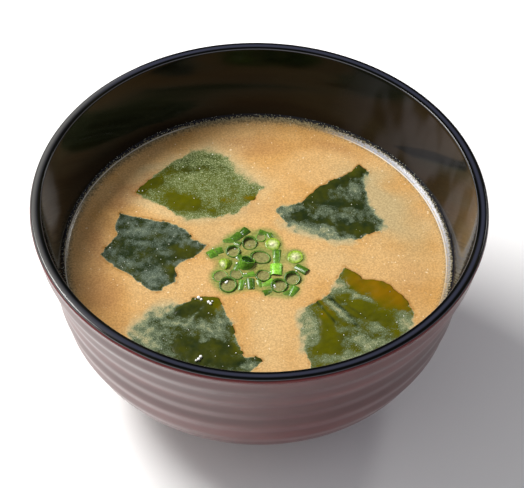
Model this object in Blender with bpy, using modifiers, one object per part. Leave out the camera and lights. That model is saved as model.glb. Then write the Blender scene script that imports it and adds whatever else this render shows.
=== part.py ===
"""Bowl of miso soup: a turned lacquer bowl, the broth in it, five torn pieces of wakame
and a heap of sliced spring onion.

Lengths in the constants below are millimetres, and MM turns them into Blender's metres.
+Z is up, and the origin is the centre of the foot's flat underside.
"""

import math

import bmesh
import bpy
from mathutils import Vector

MM = 0.001
NAME = "miso_soup"
GAP = 0.3                    # clearance kept between solids that touch in the real thing
TURN_STEPS = 44              # facets round every turned piece
MERGE_DISTANCE = 0.00001     # metres

# Bowl
BOWL_HEIGHT = 60.0
RIM_RADIUS = 57.5            # outermost circle of the lip
RIM_DROP = 0.9               # height of the lip's crown above that circle
MOUTH_RADIUS = 54.6          # inner edge of the lip
FOOT_RADIUS = 27.5           # outer radius of the foot where it stands
FOOT_NECK_RADIUS = 26.2      # the same where the foot meets the bowl
FOOT_HEIGHT = 8.4
FOOT_LAND = 2.8              # width of the flat ring that stands on the table
RECESS_DEPTH = 7.0           # hollow under the bowl, inside the foot
FLOOR_THICKNESS = 3.4
RIB_PITCH = 6.45             # soft turned waves round the outside, from crest to crest
RIB_DEPTH = 0.22
RIB_FIRST_CREST = 5.6        # below the outermost circle of the lip
RIB_COUNT = 6

# Radius and height of the outside between the lip and the foot, without its ribs
OUTSIDE = [(57.4, 59.1), (56.1, 53.1), (54.3, 47.1), (52.8, 41.1), (51.8, 35.1), (50.5, 29.1),
           (48.3, 23.1), (44.6, 19.1), (39.2, 15.1), (33.0, 11.4), (FOOT_NECK_RADIUS, FOOT_HEIGHT)]
# Radius and height of the inside between the mouth and the middle of the floor
INSIDE = [(MOUTH_RADIUS, 59.6), (52.4, 49.2), (50.0, 38.5), (48.2, 30.0), (46.8, 25.5),
          (43.9, 21.0), (39.2, 17.0), (33.0, 13.9), (25.0, 11.6), (14.0, 10.5),
          (0.0, RECESS_DEPTH + FLOOR_THICKNESS)]

# Broth
LEVEL = 38.5                 # height of the broth's surface

# Wakame: each leaf is a wavy sheet that floats in the surface
LEAF_THICKNESS = 1.0
LEAF_CELL = 3.1              # length of one facet of the sheet
LEAF_LIFT = 0.16             # height of the sheet's middle above the broth
LEAF_WAVE = 0.32             # height of its waves above and below that
LEAVES = {
    "wakame_1": {
        "outline": [(-33, 21), (-29.6, 26.4), (-26.3, 30), (-23.8, 32.4), (-19.4, 36.3), (-14, 39),
                    (-9, 35.5), (-6.4, 32.5), (-3.8, 29.8), (0.5, 25), (-0.8, 21), (-2.3, 18.9),
                    (-6.5, 15), (-13, 12.5), (-19, 12), (-25.2, 16.5)],
        "fold_heading": 35, "fold_length": 17},
    "wakame_2": {
        "outline": [(-36.4, 14), (-32.6, 13.1), (-24.2, 11.4), (-21.4, 10.5), (-18.3, 8.4),
                    (-17.1, 5.8), (-13, 3.7), (-14.3, 1.4), (-16.6, -1.1), (-20.1, -3),
                    (-20.8, -4.7), (-20.4, -9.3), (-23.4, -11), (-24.3, -12.5), (-27, -12.7),
                    (-29.5, -10.8), (-32.6, -7.6), (-37.6, -4.3), (-41, -0.6), (-38.9, 3),
                    (-36.9, 6), (-37.8, 8.8)],
        "fold_heading": 100, "fold_length": 12},
    "wakame_3": {
        "outline": [(26, 34), (29, 31.3), (28.7, 28.2), (27.5, 25.4), (29.3, 18.5), (33.5, 11.6),
                    (31.5, 9.9), (29.4, 9.5), (26.8, 7.3), (24, 6.4), (20.4, 6), (10, 9.4),
                    (6.8, 11.8), (3.5, 17), (6.2, 18.2), (11, 19.9), (12, 21.2), (15.2, 24.6),
                    (18.5, 27.9), (22.2, 29.8), (24.3, 31.3)],
        "fold_heading": 120, "fold_length": 14},
    "wakame_4": {
        "outline": [(-17.4, -15.6), (-15.8, -14), (-9.6, -14), (-8.5, -16.2), (-7.2, -19.8),
                    (-5.6, -22.2), (-5.5, -24.2), (-4.2, -28.2), (-2.7, -32.6), (0.6, -32.7),
                    (2, -34.5), (-3, -41), (-12, -43.5), (-21, -40), (-28, -33), (-32, -26.5),
                    (-25.8, -18)],
        "fold_heading": 75, "fold_length": 15},
    "wakame_5": {
        "outline": [(22, -2), (24.9, -4.5), (26.3, -5.7), (26.7, -6.8), (29.5, -6.5), (31.9, -7.1),
                    (34.1, -8.7), (36.3, -11), (38.6, -14), (40, -17.3), (39, -23), (33, -31),
                    (24, -37.5), (15, -40), (12, -30), (10.5, -19), (13.4, -15), (16.6, -13.3),
                    (18.8, -10.7), (20.1, -8), (20.9, -4.6)],
        "fold_heading": 35, "fold_length": 11},
}

# Spring onion: many short rings in one heap, here one solid out to its uneven outline
HEAP_CENTRE = (0.2, -2.9)
HEAP_HALF_SIZE = (12.2, 10.6)
HEAP_ABOVE = 2.6             # its crown above the broth
HEAP_BELOW = 1.6             # its underside below the broth
HEAP_BLUNTNESS = 0.62        # under 1 makes the sides steeper than an ellipsoid's

# Colour, roughness and metallic value of each finish
FINISHES = {
    "bowl": ((0.035, 0.022, 0.020), 0.25, 0.0),
    "broth": ((0.72, 0.42, 0.17), 0.35, 0.0),
    "wakame": ((0.030, 0.050, 0.012), 0.30, 0.0),
    "spring_onion": ((0.16, 0.42, 0.03), 0.35, 0.0),
}


def clear_scene():
    for thing in list(bpy.data.objects):
        bpy.data.objects.remove(thing, do_unlink=True)


def make_collection(name):
    collection = bpy.data.collections.new(name)
    bpy.context.scene.collection.children.link(collection)
    return collection


def make_material(name):
    colour, roughness, metallic = FINISHES[name]
    material = bpy.data.materials.new(name)
    material.use_nodes = True
    shader = material.node_tree.nodes["Principled BSDF"]
    shader.inputs["Base Color"].default_value = (*colour, 1.0)
    shader.inputs["Roughness"].default_value = roughness
    shader.inputs["Metallic"].default_value = metallic
    return material


def add_object(name, data, collection, material=None):
    thing = bpy.data.objects.new(name, data)
    collection.objects.link(thing)
    if material is not None:
        data.materials.append(material)
    return thing


def make_cutter(thing):
    thing.hide_render = True
    thing.display_type = "WIRE"
    return thing


def smooth_course(points, pieces):
    """The points of a Catmull-Rom curve through the given ones, with so many pieces in each span."""
    course = []
    ends = [points[0]] + list(points) + [points[-1]]
    for before, start, end, after in zip(ends, ends[1:], ends[2:], ends[3:]):
        for step in range(pieces):
            t = step / pieces
            course.append(tuple(
                0.5 * (2 * b + (c - a) * t + (2 * a - 5 * b + 4 * c - d) * t ** 2
                       + (3 * b - a - 3 * c + d) * t ** 3)
                for a, b, c, d in zip(before, start, end, after)))
    course.append(points[-1])
    return course


def radius_at(course, height):
    """Radius of a course of (radius, height) points at a height."""
    for (r_a, z_a), (r_b, z_b) in zip(course, course[1:]):
        if min(z_a, z_b) <= height <= max(z_a, z_b) and z_a != z_b:
            return r_a + (r_b - r_a) * (height - z_a) / (z_b - z_a)
    raise ValueError(f"no radius at height {height}")


def turned(name, profile, collection, material):
    """A solid turned about Z from (radius, height) points that run down its outer side."""
    mesh = bpy.data.meshes.new(name)
    places = [Vector((radius, 0.0, height)) * MM for radius, height in profile]
    mesh.from_pydata(places, [(i, i + 1) for i in range(len(places) - 1)], [])
    thing = add_object(name, mesh, collection, material)
    screw = thing.modifiers.new("Turn", "SCREW")
    screw.axis = "Z"
    screw.angle = math.tau
    screw.steps = TURN_STEPS
    screw.render_steps = TURN_STEPS
    screw.use_merge_vertices = True
    screw.merge_threshold = MERGE_DISTANCE
    screw.use_smooth_shade = True
    return thing


def lip_course():
    """The rounded lip, from its inner edge over the crown to its outermost circle."""
    crown = BOWL_HEIGHT
    side = BOWL_HEIGHT - RIM_DROP
    return [(MOUTH_RADIUS + 0.25, crown - 0.1), (MOUTH_RADIUS + 0.9, crown),
            (RIM_RADIUS - 1.0, crown - 0.25), (RIM_RADIUS - 0.25, side + 0.35), (RIM_RADIUS, side)]


def ribbed_side():
    """The outside under the lip with its ribs: a crest, a trough and two points between for each."""
    base = smooth_course(OUTSIDE, 6)
    side = BOWL_HEIGHT - RIM_DROP
    course = []
    for quarter in range(-2, 4 * (RIB_COUNT - 1) + 1):
        depth = RIB_FIRST_CREST + quarter * RIB_PITCH / 4
        wave = RIB_DEPTH * math.cos(math.tau * quarter / 4)
        course.append((radius_at(base, side - depth) + wave, side - depth))
    return course


def lower_side():
    """The outside from the last rib in under the bowl to the neck of the foot."""
    last_rib = ribbed_side()[-1][1]
    return [point for point in smooth_course(OUTSIDE, 2) if point[1] < last_rib - 1.5]


def foot_course():
    """The foot ring, its flat land, and the recess inside it as far as the axis."""
    land_inner = FOOT_RADIUS - FOOT_LAND
    return [(FOOT_RADIUS - 0.5, 3.5), (FOOT_RADIUS, 0.6), (FOOT_RADIUS - 0.5, 0.0),
            (land_inner, 0.0), (land_inner - 1.0, RECESS_DEPTH - 1.2),
            (land_inner - 2.4, RECESS_DEPTH), (0.0, RECESS_DEPTH)]


def inside_course():
    """The inside, from the middle of the floor up to the mouth."""
    return list(reversed(INSIDE))


def make_bowl(collection, material):
    profile = inside_course() + lip_course() + ribbed_side() + lower_side() + foot_course()
    return turned("bowl", profile, collection, material)


def prism(name, outline, bottom, top, collection):
    """An upright prism on a flat outline, made from a filled curve."""
    curve = bpy.data.curves.new(name, "CURVE")
    curve.dimensions = "2D"
    curve.fill_mode = "BOTH"
    curve.extrude = (top - bottom) / 2 * MM
    spline = curve.splines.new("POLY")
    spline.points.add(len(outline) - 1)
    for point, (x, y) in zip(spline.points, outline):
        point.co = (x * MM, y * MM, 0.0, 1.0)
    spline.use_cyclic_u = True
    drawn = add_object(name, curve, collection)
    drawn.location.z = (top + bottom) / 2 * MM
    bpy.context.view_layer.update()
    mesh = bpy.data.meshes.new_from_object(drawn.evaluated_get(bpy.context.evaluated_depsgraph_get()))
    shape = bmesh.new()
    shape.from_mesh(mesh)
    bmesh.ops.remove_doubles(shape, verts=shape.verts, dist=MERGE_DISTANCE)
    bmesh.ops.recalc_face_normals(shape, faces=shape.faces)
    shape.to_mesh(mesh)
    shape.free()
    solid = add_object(f"{name}_prism", mesh, collection)
    solid.matrix_world = drawn.matrix_world.copy()
    bpy.data.objects.remove(drawn)
    return make_cutter(solid)


def grown(outline, margin):
    """A flat outline moved outwards by a margin, each corner along the line that halves it."""
    area = sum(x_a * y_b - x_b * y_a
               for (x_a, y_a), (x_b, y_b) in zip(outline, outline[1:] + outline[:1]))
    side = 1.0 if area > 0 else -1.0
    moved = []
    for before, corner, after in zip(outline[-1:] + outline[:-1], outline, outline[1:] + outline[:1]):
        arriving = (Vector(corner) - Vector(before)).normalized()
        leaving = (Vector(after) - Vector(corner)).normalized()
        outward = Vector((arriving.y + leaving.y, -arriving.x - leaving.x)).normalized() * side
        spread = max(outward.dot(Vector((arriving.y, -arriving.x)) * side), 0.5)
        moved.append(tuple(Vector(corner) + outward * margin / spread))
    return moved


def leaf_height(x, y, heading, length):
    """Height above the broth of the middle of a leaf: long folds across its heading, and a cross wave."""
    along = x * math.cos(math.radians(heading)) + y * math.sin(math.radians(heading))
    across = y * math.cos(math.radians(heading)) - x * math.sin(math.radians(heading))
    folds = 0.7 * math.sin(math.tau * along / length)
    cross = 0.3 * math.sin(math.tau * across / (1.7 * length) + 1.0)
    return LEAF_LIFT + LEAF_WAVE * (folds + cross)


def leaf_sheet(name, leaf, margin, collection, outlines):
    """A wavy sheet trimmed to a leaf's outline, grown by a margin on all sides."""
    xs = [x for x, _ in leaf["outline"]]
    ys = [y for _, y in leaf["outline"]]
    middle = ((min(xs) + max(xs)) / 2, (min(ys) + max(ys)) / 2)
    reach = (max(xs) - min(xs), max(ys) - min(ys))
    cells = [math.ceil(length / LEAF_CELL) + 2 for length in reach]
    shape = bmesh.new()
    bmesh.ops.create_grid(shape, x_segments=cells[0], y_segments=cells[1], size=0.5)
    for corner in shape.verts:
        x = middle[0] + corner.co.x * cells[0] * LEAF_CELL
        y = middle[1] + corner.co.y * cells[1] * LEAF_CELL
        z = LEVEL + leaf_height(x, y, leaf["fold_heading"], leaf["fold_length"])
        corner.co = Vector((x, y, z)) * MM
    mesh = bpy.data.meshes.new(name)
    shape.to_mesh(mesh)
    shape.free()
    sheet = add_object(name, mesh, collection)
    thickness = sheet.modifiers.new("Thickness", "SOLIDIFY")
    thickness.thickness = (LEAF_THICKNESS + 2 * margin) * MM
    thickness.offset = 0.0
    trim = sheet.modifiers.new("Trim", "BOOLEAN")
    trim.operation = "INTERSECT"
    trim.solver = "EXACT"
    trim.object = prism(f"{name}_outline", grown(leaf["outline"], margin), LEVEL - 5, LEVEL + 5, outlines)
    return sheet


def heap_shape(name, margin, collection, material=None):
    """The heap of spring onion: a blunt mound with an uneven outline and a bumpy crown."""
    shape = bmesh.new()
    bmesh.ops.create_uvsphere(shape, u_segments=24, v_segments=9, radius=1.0)
    for corner in shape.verts:
        heading = math.atan2(corner.co.y, corner.co.x)
        uneven = 1 + 0.06 * math.sin(3 * heading + 0.4) + 0.05 * math.sin(5 * heading + 2.0)
        bumps = 1 + 0.10 * math.sin(5.1 * corner.co.x + 1.0) * math.cos(6.3 * corner.co.y)
        depth = HEAP_ABOVE if corner.co.z > 0 else HEAP_BELOW
        steep = math.copysign(abs(corner.co.z) ** HEAP_BLUNTNESS, corner.co.z)
        x = HEAP_CENTRE[0] + corner.co.x * (HEAP_HALF_SIZE[0] * uneven + margin)
        y = HEAP_CENTRE[1] + corner.co.y * (HEAP_HALF_SIZE[1] * uneven + margin)
        z = LEVEL + steep * (depth * bumps + margin)
        corner.co = Vector((x, y, z)) * MM
    mesh = bpy.data.meshes.new(name)
    shape.to_mesh(mesh)
    shape.free()
    mesh.shade_smooth()
    return add_object(name, mesh, collection, material)


def make_broth(collection, material, pockets):
    """The broth up to its level, a clearance inside the bowl, cut round what floats in it."""
    wet = [(radius - GAP, height + GAP) for radius, height in INSIDE if 0 < radius and height < LEVEL]
    surface = [(0.0, LEVEL), (radius_at(INSIDE, LEVEL) - GAP, LEVEL)]
    bottom = [(0.0, INSIDE[-1][1] + GAP)]
    broth = turned("broth", surface + wet + bottom, collection, material)
    for pocket in pockets:
        cut = broth.modifiers.new(pocket.name, "BOOLEAN")
        cut.operation = "DIFFERENCE"
        cut.solver = "EXACT"
        cut.object = pocket
    return broth


def main():
    clear_scene()
    parts = make_collection(NAME)
    cutters = make_collection(f"{NAME}_cutters")
    finish = {name: make_material(name) for name in FINISHES}
    make_bowl(parts, finish["bowl"])
    pockets = []
    for name, leaf in LEAVES.items():
        sheet = leaf_sheet(name, leaf, 0.0, parts, cutters)
        sheet.data.materials.append(finish["wakame"])
        pockets.append(make_cutter(leaf_sheet(f"{name}_pocket", leaf, GAP, cutters, cutters)))
    heap_shape("spring_onions", 0.0, parts, finish["spring_onion"])
    pockets.append(make_cutter(heap_shape("spring_onions_pocket", GAP, cutters)))
    make_broth(parts, finish["broth"], pockets)


main()
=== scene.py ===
import math

import bmesh
import bpy
import numpy as np
from bpy.props import FloatProperty, FloatVectorProperty, IntProperty, PointerProperty
from bpy.types import Operator, Panel, PropertyGroup
from mathutils import Matrix, Vector, geometry


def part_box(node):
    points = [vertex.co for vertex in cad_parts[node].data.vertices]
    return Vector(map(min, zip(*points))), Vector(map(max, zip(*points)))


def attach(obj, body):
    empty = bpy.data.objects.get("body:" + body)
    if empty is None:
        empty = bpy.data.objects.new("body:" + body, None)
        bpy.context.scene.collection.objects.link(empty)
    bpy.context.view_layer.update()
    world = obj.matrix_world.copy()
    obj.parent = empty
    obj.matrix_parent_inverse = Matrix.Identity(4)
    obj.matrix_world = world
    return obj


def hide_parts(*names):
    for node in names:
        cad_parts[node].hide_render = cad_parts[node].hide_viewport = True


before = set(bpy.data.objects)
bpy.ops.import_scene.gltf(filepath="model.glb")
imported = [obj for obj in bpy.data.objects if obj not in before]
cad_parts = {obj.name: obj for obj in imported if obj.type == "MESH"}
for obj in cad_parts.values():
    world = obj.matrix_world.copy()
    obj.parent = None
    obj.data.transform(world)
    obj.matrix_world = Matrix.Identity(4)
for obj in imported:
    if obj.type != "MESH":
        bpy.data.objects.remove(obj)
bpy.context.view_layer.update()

bl_info = {
    "name": "Miso Soup Finish",
    "version": (1, 0, 0),
    "blender": (4, 5, 0),
    "location": "View3D > Sidebar > Miso Soup",
    "description": "Lacquer, broth, wakame and spring onion around a packed bowl of miso soup",
    "category": "Object",
}

MM = 0.001
BOWL_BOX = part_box("bowl")
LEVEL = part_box("broth")[1].z
BROTH_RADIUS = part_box("broth")[1].x
LEAF_NODES = [name for name in sorted(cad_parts) if name.startswith("wakame_")]
HEAP_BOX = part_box("spring_onions")
HEAP_CENTRE = (HEAP_BOX[0] + HEAP_BOX[1]) / 2

# How each leaf lies. Rise is how high it floats over the broth's surface, in millimetres. Thin is 0 for
# thick dark leaf, half for olive and 1 for amber, and cool is how blue the froth on it looks. Each patch is
# (across, up, long, wide, heading, lift): a place as shares of the leaf's width and depth, the patch's two
# half-sizes in millimetres, the heading of its long side in degrees, and what it adds to the rise.
# Each tone is the same, but adds to how thin the leaf is. A crease is a dark line: the x and y of its two
# ends from the middle of the bowl, its width in millimetres, and how dark it is.
LEAF_LIES = {
    "wakame_1": {
        "rise": -0.24, "thin": 0.42, "cool": 0.0, "halo": 0.75,
        "patches": [(0.12, 0.46, 5.5, 1.7, 40, 0.42), (0.38, 0.24, 5.6, 3.4, -12, 0.42),
                    (0.60, 0.14, 5.0, 1.6, -5, 0.22), (0.74, 0.28, 2.2, 1.4, 20, 0.20),
                    (0.92, 0.33, 2.4, 1.4, 20, 0.34), (0.24, 0.42, 3.0, 2.4, 20, 0.16),
                    (0.36, 0.66, 6.5, 1.1, 8, 0.26), (0.62, 0.84, 6.0, 1.4, -20, 0.16), (0.34, 0.50, 4.0, 1.2, 22, -0.12),
                    (0.62, 0.97, 6.0, 2.8, -15, -0.70), (0.88, 0.66, 6.5, 2.4, -42, -0.90),
                    (0.20, 0.74, 5.0, 1.2, 40, -0.05), (0.55, 0.00, 4.5, 1.6, 0, -0.75),
                    (0.78, 0.05, 4.0, 1.6, 20, -0.45), (0.60, 0.62, 5.0, 3.0, 0, 0.05)],
        "tones": [(0.74, 0.28, 2.0, 1.2, 20, 0.2), (0.92, 0.33, 2.0, 1.2, 20, 0.3),
                  (0.08, 0.42, 4.0, 2.0, 40, -0.04), (0.5, 0.75, 12.0, 4.0, 0, -0.30)]},
    "wakame_2": {
        "rise": -0.06, "thin": 0.03, "cool": 1.0, "halo": 0.8,
        "patches": [(0.34, 0.77, 3.4, 1.8, 20, -0.26), (0.62, 0.78, 4.6, 1.8, -5, -0.16),
                    (0.55, 0.64, 4.0, 0.9, 12, -0.12), (0.24, 0.36, 4.2, 1.6, -12, -0.14),
                    (0.49, 0.19, 3.4, 2.4, 0, -0.22), (0.74, 0.37, 2.0, 0.8, 30, -0.18),
                    (0.20, 0.86, 2.6, 1.6, -60, -0.06), (0.28, 0.55, 5.0, 1.1, 0, 0.06),
                    (0.78, 0.53, 4.5, 1.6, 0, 0.12), (0.60, 0.42, 4.0, 1.4, 0, 0.06),
                    (0.67, 0.25, 1.5, 2.4, 0, 0.12), (0.36, 0.29, 2.8, 0.9, 10, 0.10),
                    (0.55, 0.92, 6.0, 0.7, -12, 0.10)],
        "tones": [(0.80, 0.52, 5.0, 2.5, 0, 0.18), (0.66, 0.25, 2.2, 3.5, 0, 0.16),
                  (0.30, 0.28, 3.0, 2.0, 0, 0.12)]},
    "wakame_3": {
        "rise": -0.06, "thin": 0.06, "cool": 0.8, "halo": 1.0,
        "patches": [(0.38, 0.58, 4.6, 2.2, 42, 0.22), (0.58, 0.77, 4.4, 1.5, 32, 0.20),
                    (0.74, 0.91, 2.4, 1.8, 40, 0.40), (0.23, 0.31, 1.9, 1.6, 60, 0.34),
                    (0.75, 0.16, 4.4, 1.9, 8, 0.26), (0.45, 0.24, 4.0, 1.1, -10, 0.16),
                    (0.60, 0.48, 5.0, 1.3, -5, 0.18), (0.70, 0.66, 2.7, 2.0, 60, -0.26),
                    (0.50, 0.36, 5.0, 1.2, -3, -0.20), (0.14, 0.39, 3.6, 1.5, 5, -0.26),
                    (0.26, 0.13, 6.5, 1.9, -20, -0.60), (0.48, 0.11, 3.0, 1.4, -35, -0.40),
                    (0.60, 0.00, 3.5, 1.4, 0, -0.75), (0.90, 0.44, 5.5, 1.5, -66, -0.45),
                    (0.82, 0.78, 2.6, 1.2, -80, -0.75), (0.97, 0.20, 2.2, 1.4, 0, -0.50)],
        "tones": [(0.45, 0.64, 7.0, 2.2, 42, 0.10), (0.74, 0.91, 3.0, 2.0, 40, 0.14),
                  (0.80, 0.12, 4.0, 2.0, 10, 0.10)]},
    "wakame_4": {
        "rise": -0.08, "thin": 0.13, "cool": 0.7, "halo": 1.0,
        "patches": [(0.56, 0.94, 3.6, 2.2, 0, 0.42), (0.38, 0.85, 3.4, 1.8, 35, 0.30),
                    (0.53, 0.81, 2.6, 1.5, 20, 0.24), (0.58, 0.40, 9.0, 3.8, -14, 0.36),
                    (0.78, 0.66, 1.2, 1.8, 80, 0.20), (0.40, 0.69, 3.8, 0.9, -12, -0.34),
                    (0.60, 0.64, 3.4, 1.6, -25, -0.32), (0.56, 0.54, 1.4, 1.0, 0, -0.24),
                    (0.71, 0.74, 2.2, 1.8, 0, -0.30), (0.24, 0.84, 4.0, 2.6, 30, -0.70),
                    (0.10, 0.58, 3.2, 5.0, 20, -0.55), (0.24, 0.60, 3.6, 2.4, 0, -0.14),
                    (0.22, 0.44, 4.0, 1.6, -30, -0.34), (0.90, 0.27, 2.4, 1.4, 0, -0.30),
                    (0.47, 0.77, 2.8, 0.4, 50, -0.40), (0.98, 0.33, 1.2, 0.8, 0, 0.3)],
        "tones": [(0.68, 0.90, 2.2, 2.6, 60, 0.55), (0.60, 0.98, 3.0, 1.0, 0, 0.25),
                  (0.80, 0.55, 1.5, 5.0, 10, 0.22)]},
    "wakame_5": {
        "rise": -0.02, "thin": 0.45, "cool": 0.5, "halo": 1.0,
        "patches": [(0.47, 0.88, 3.0, 2.6, 60, 0.30), (0.76, 0.78, 5.5, 3.6, -42, 0.30),
                    (0.60, 0.60, 6.5, 2.6, -38, 0.26), (0.26, 0.42, 3.4, 7.0, 8, 0.22),
                    (0.36, 0.83, 2.4, 1.5, 70, -0.72), (0.50, 0.735, 4.2, 1.2, -20, -0.46),
                    (0.31, 0.62, 4.4, 1.0, -48, -0.72), (0.07, 0.48, 2.4, 5.5, 8, -0.60),
                    (0.15, 0.43, 1.6, 3.2, 0, -0.22), (0.68, 0.46, 3.0, 1.5, -25, -0.38),
                    (0.53, 0.36, 2.4, 2.6, 0, -0.40), (0.66, 0.33, 3.6, 2.0, 20, -0.36),
                    (0.35, 0.19, 3.6, 1.5, 10, -0.42), (0.92, 0.50, 2.2, 4.0, 20, -0.50),
                    (0.05, 0.30, 1.4, 3.0, 0, -0.40), (0.34, 0.45, 1.4, 1.4, 0, -0.25),
                    (0.45, 0.22, 3.4, 1.8, 10, -0.30)],
        "tones": [(0.80, 0.76, 7.0, 4.2, -46, 0.50), (0.62, 0.80, 4.0, 2.6, -30, 0.30),
                  (0.47, 0.88, 3.2, 2.4, 0, 0.30), (0.22, 0.58, 2.0, 2.4, 0, 0.16),
                  (0.24, 0.62, 2.0, 2.4, 0, 0.10), (0.50, 0.50, 7.0, 5.0, 0, -0.08),
                  (0.60, 0.34, 7.0, 4.0, 0, -0.14), (0.25, 0.17, 2.0, 3.0, 0, 0.10)],
        "creases": [(17.2, -11.2, 25.6, -22.2, 0.50, 0.75), (15.0, -14.2, 20.4, -21.8, 0.40, 0.60),
                    (19.4, -12.4, 28.0, -19.8, 0.30, 0.24), (21.0, -16.0, 29.0, -23.0, 0.30, 0.20)]},
}

# Where the broth is khaki, cream or brown: x, y from the middle of the bowl and the two half-sizes of the
# patch in millimetres, the heading of its long side in degrees, and how strong it is. The brown patches
# along the left and back wall are painted shade: the wall's shadow on the broth.
BROTH_TONES = {
    "khaki": [(-12.0, 5.5, 6.0, 6.0, 0, 0.45), (33.0, 18.0, 15.0, 7.0, 122, 1.0), (27.0, 27.0, 9.0, 5.0, 140, 0.45), (21.0, 1.0, 9.0, 3.0, 0, 0.3),
              (-26.0, 31.0, 10.0, 2.5, 35, 0.8), (2.0, -20.0, 6.0, 3.0, 90, 0.2), (-11.0, 28.0, 4.0, 2.2, -40, 0.6), (24.0, -16.0, 8.0, 5.0, 60, 0.3)],
    "cream": [(-25.0, 15.2, 9.0, 1.7, -22, 1.0), (-29.5, 16.8, 4.0, 1.6, -10, 0.6), (3.0, 12.0, 5.0, 8.0, 0, 0.4),
              (4.0, -24.0, 6.0, 12.0, 0, 1.0), (-12.0, 4.0, 5.0, 7.0, -50, 0.2), (16.0, -4.0, 9.0, 5.0, 0, 0.45)],
    # Brown along the left and back wall: painted shade of the wall on the broth.
    "brown": [(-31.5, 21.5, 5.0, 4.5, 45, 0.8), (-36.0, 19.5, 5.0, 3.6, 60, 1.0), (-28.0, 26.5, 7.0, 2.2, 42, 0.8), (-41.5, 3.0, 4.5, 9.0, 0, 1.0),
              (-39.0, -15.0, 5.5, 9.0, 25, 1.0), (38.0, -6.0, 4.0, 8.0, 0, 0.3), (-3.0, 39.5, 12.0, 3.6, 0, 0.75),
              (19.0, 40.0, 8.0, 2.2, -18, 0.7), (-2.6, 16.7, 5.0, 4.0, 0, 0.35)],
}

# Spring onion: x, y from the middle of the heap and height over the broth in millimetres, tilt from
# upright and heading of the lean in degrees, diameter, length, share of roundness, kind, and tone from
# dark (0) to bright (1).
OPEN, PALE, DEEP = 0, 1, 2
SLICES = [
    (-3.2, 8.2, -0.72, 14, 275, 4.3, 2.6, 0.92, OPEN, 0.15), (-7.3, 5.2, -0.75, 10, 265, 3.9, 2.6, 0.97, OPEN, 0.25),
    (-0.3, 3.4, -1.00, 3, 345, 5.5, 2.6, 0.80, OPEN, 0.10), (-3.8, 1.2, -0.20, 27, 52, 4.4, 3.0, 0.85, DEEP, 0.60),
    (0.5, -2.8, -1.02, 4, 60, 4.2, 2.6, 0.95, OPEN, 0.15), (-8.3, -6.2, -0.72, 9, 265, 4.9, 2.6, 0.96, OPEN, 0.20),
    (4.7, -5.9, -0.78, 9, 270, 4.4, 2.6, 1.0, OPEN, 0.15), (8.0, -3.4, -0.68, 13, 268, 4.4, 2.6, 0.92, OPEN, 0.10),
    (-10.4, -3.4, -1.22, 2, 40, 4.2, 2.6, 0.95, OPEN, 0.55), (-6.3, -2.6, -1.18, 2, 100, 3.9, 2.6, 0.90, OPEN, 0.30),
    (-0.3, 10.2, -1.20, 3, 120, 2.8, 2.6, 0.95, OPEN, 0.80), (2.8, 8.1, -0.90, 6, 270, 4.1, 2.4, 0.92, PALE, 0.5),
    (8.7, 3.9, -0.95, 5, 250, 4.3, 2.4, 0.93, PALE, 0.4), (-9.2, 0.9, -0.35, 50, 215, 3.1, 2.4, 1.0, PALE, 0.9),
    (-6.5, 10.3, -0.45, 86, 48, 1.8, 2.8, 1.6, OPEN, 0.22), (-4.6, 12.1, -0.35, 84, 52, 1.7, 2.2, 1.6, OPEN, 0.12),
    (-8.6, 8.9, -0.60, 84, 15, 1.6, 2.8, 1.6, OPEN, 0.40), (-6.4, 8.1, -0.60, 84, -20, 1.5, 2.2, 1.5, OPEN, 0.25),
    (0.6, 11.9, -0.55, 84, 165, 1.6, 3.2, 1.5, OPEN, 0.30), (2.3, 10.7, -0.55, 82, 120, 1.5, 2.4, 1.5, OPEN, 0.25),
    (-12.8, 4.1, -0.40, 88, 34, 1.7, 2.2, 1.8, OPEN, 0.45), (-10.9, 5.4, -0.45, 86, 24, 1.6, 1.9, 1.7, OPEN, 0.35),
    (3.9, 4.6, -0.50, 84, 90, 1.6, 3.2, 1.7, OPEN, 0.40), (3.9, 2.2, -0.60, 84, 90, 1.5, 2.4, 1.6, OPEN, 0.60),
    (3.9, -0.7, 0.00, 87, 90, 1.3, 3.6, 2.5, OPEN, 1.0), (10.4, -0.2, -0.30, 84, 325, 1.6, 3.6, 1.5, OPEN, 0.25),
    (-5.0, -6.1, -0.45, 86, 82, 1.5, 3.4, 1.4, OPEN, 0.55), (-2.6, -5.7, -0.45, 84, 96, 1.7, 3.4, 1.5, OPEN, 0.25),
    (2.0, -8.0, -0.60, 80, 210, 1.6, 3.0, 1.4, OPEN, 0.30), (8.3, -7.7, -0.50, 82, 68, 1.7, 3.2, 1.6, OPEN, 0.45),
    (1.9, -5.2, -0.62, 84, 30, 1.6, 3.4, 1.8, OPEN, 0.75), (-6.0, 0.2, -0.55, 84, 60, 1.6, 2.8, 1.5, OPEN, 0.40),
    (-5.4, 2.9, -0.60, 84, 130, 1.6, 2.4, 1.5, OPEN, 0.30), (-3.2, -2.6, -0.60, 84, 20, 1.6, 3.2, 1.6, OPEN, 0.55),
    (6.5, -8.4, -0.62, 82, 10, 1.5, 2.2, 1.5, OPEN, 0.35), (-0.2, -5.4, -0.66, 84, 100, 1.6, 2.6, 1.6, OPEN, 0.50),
]
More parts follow.
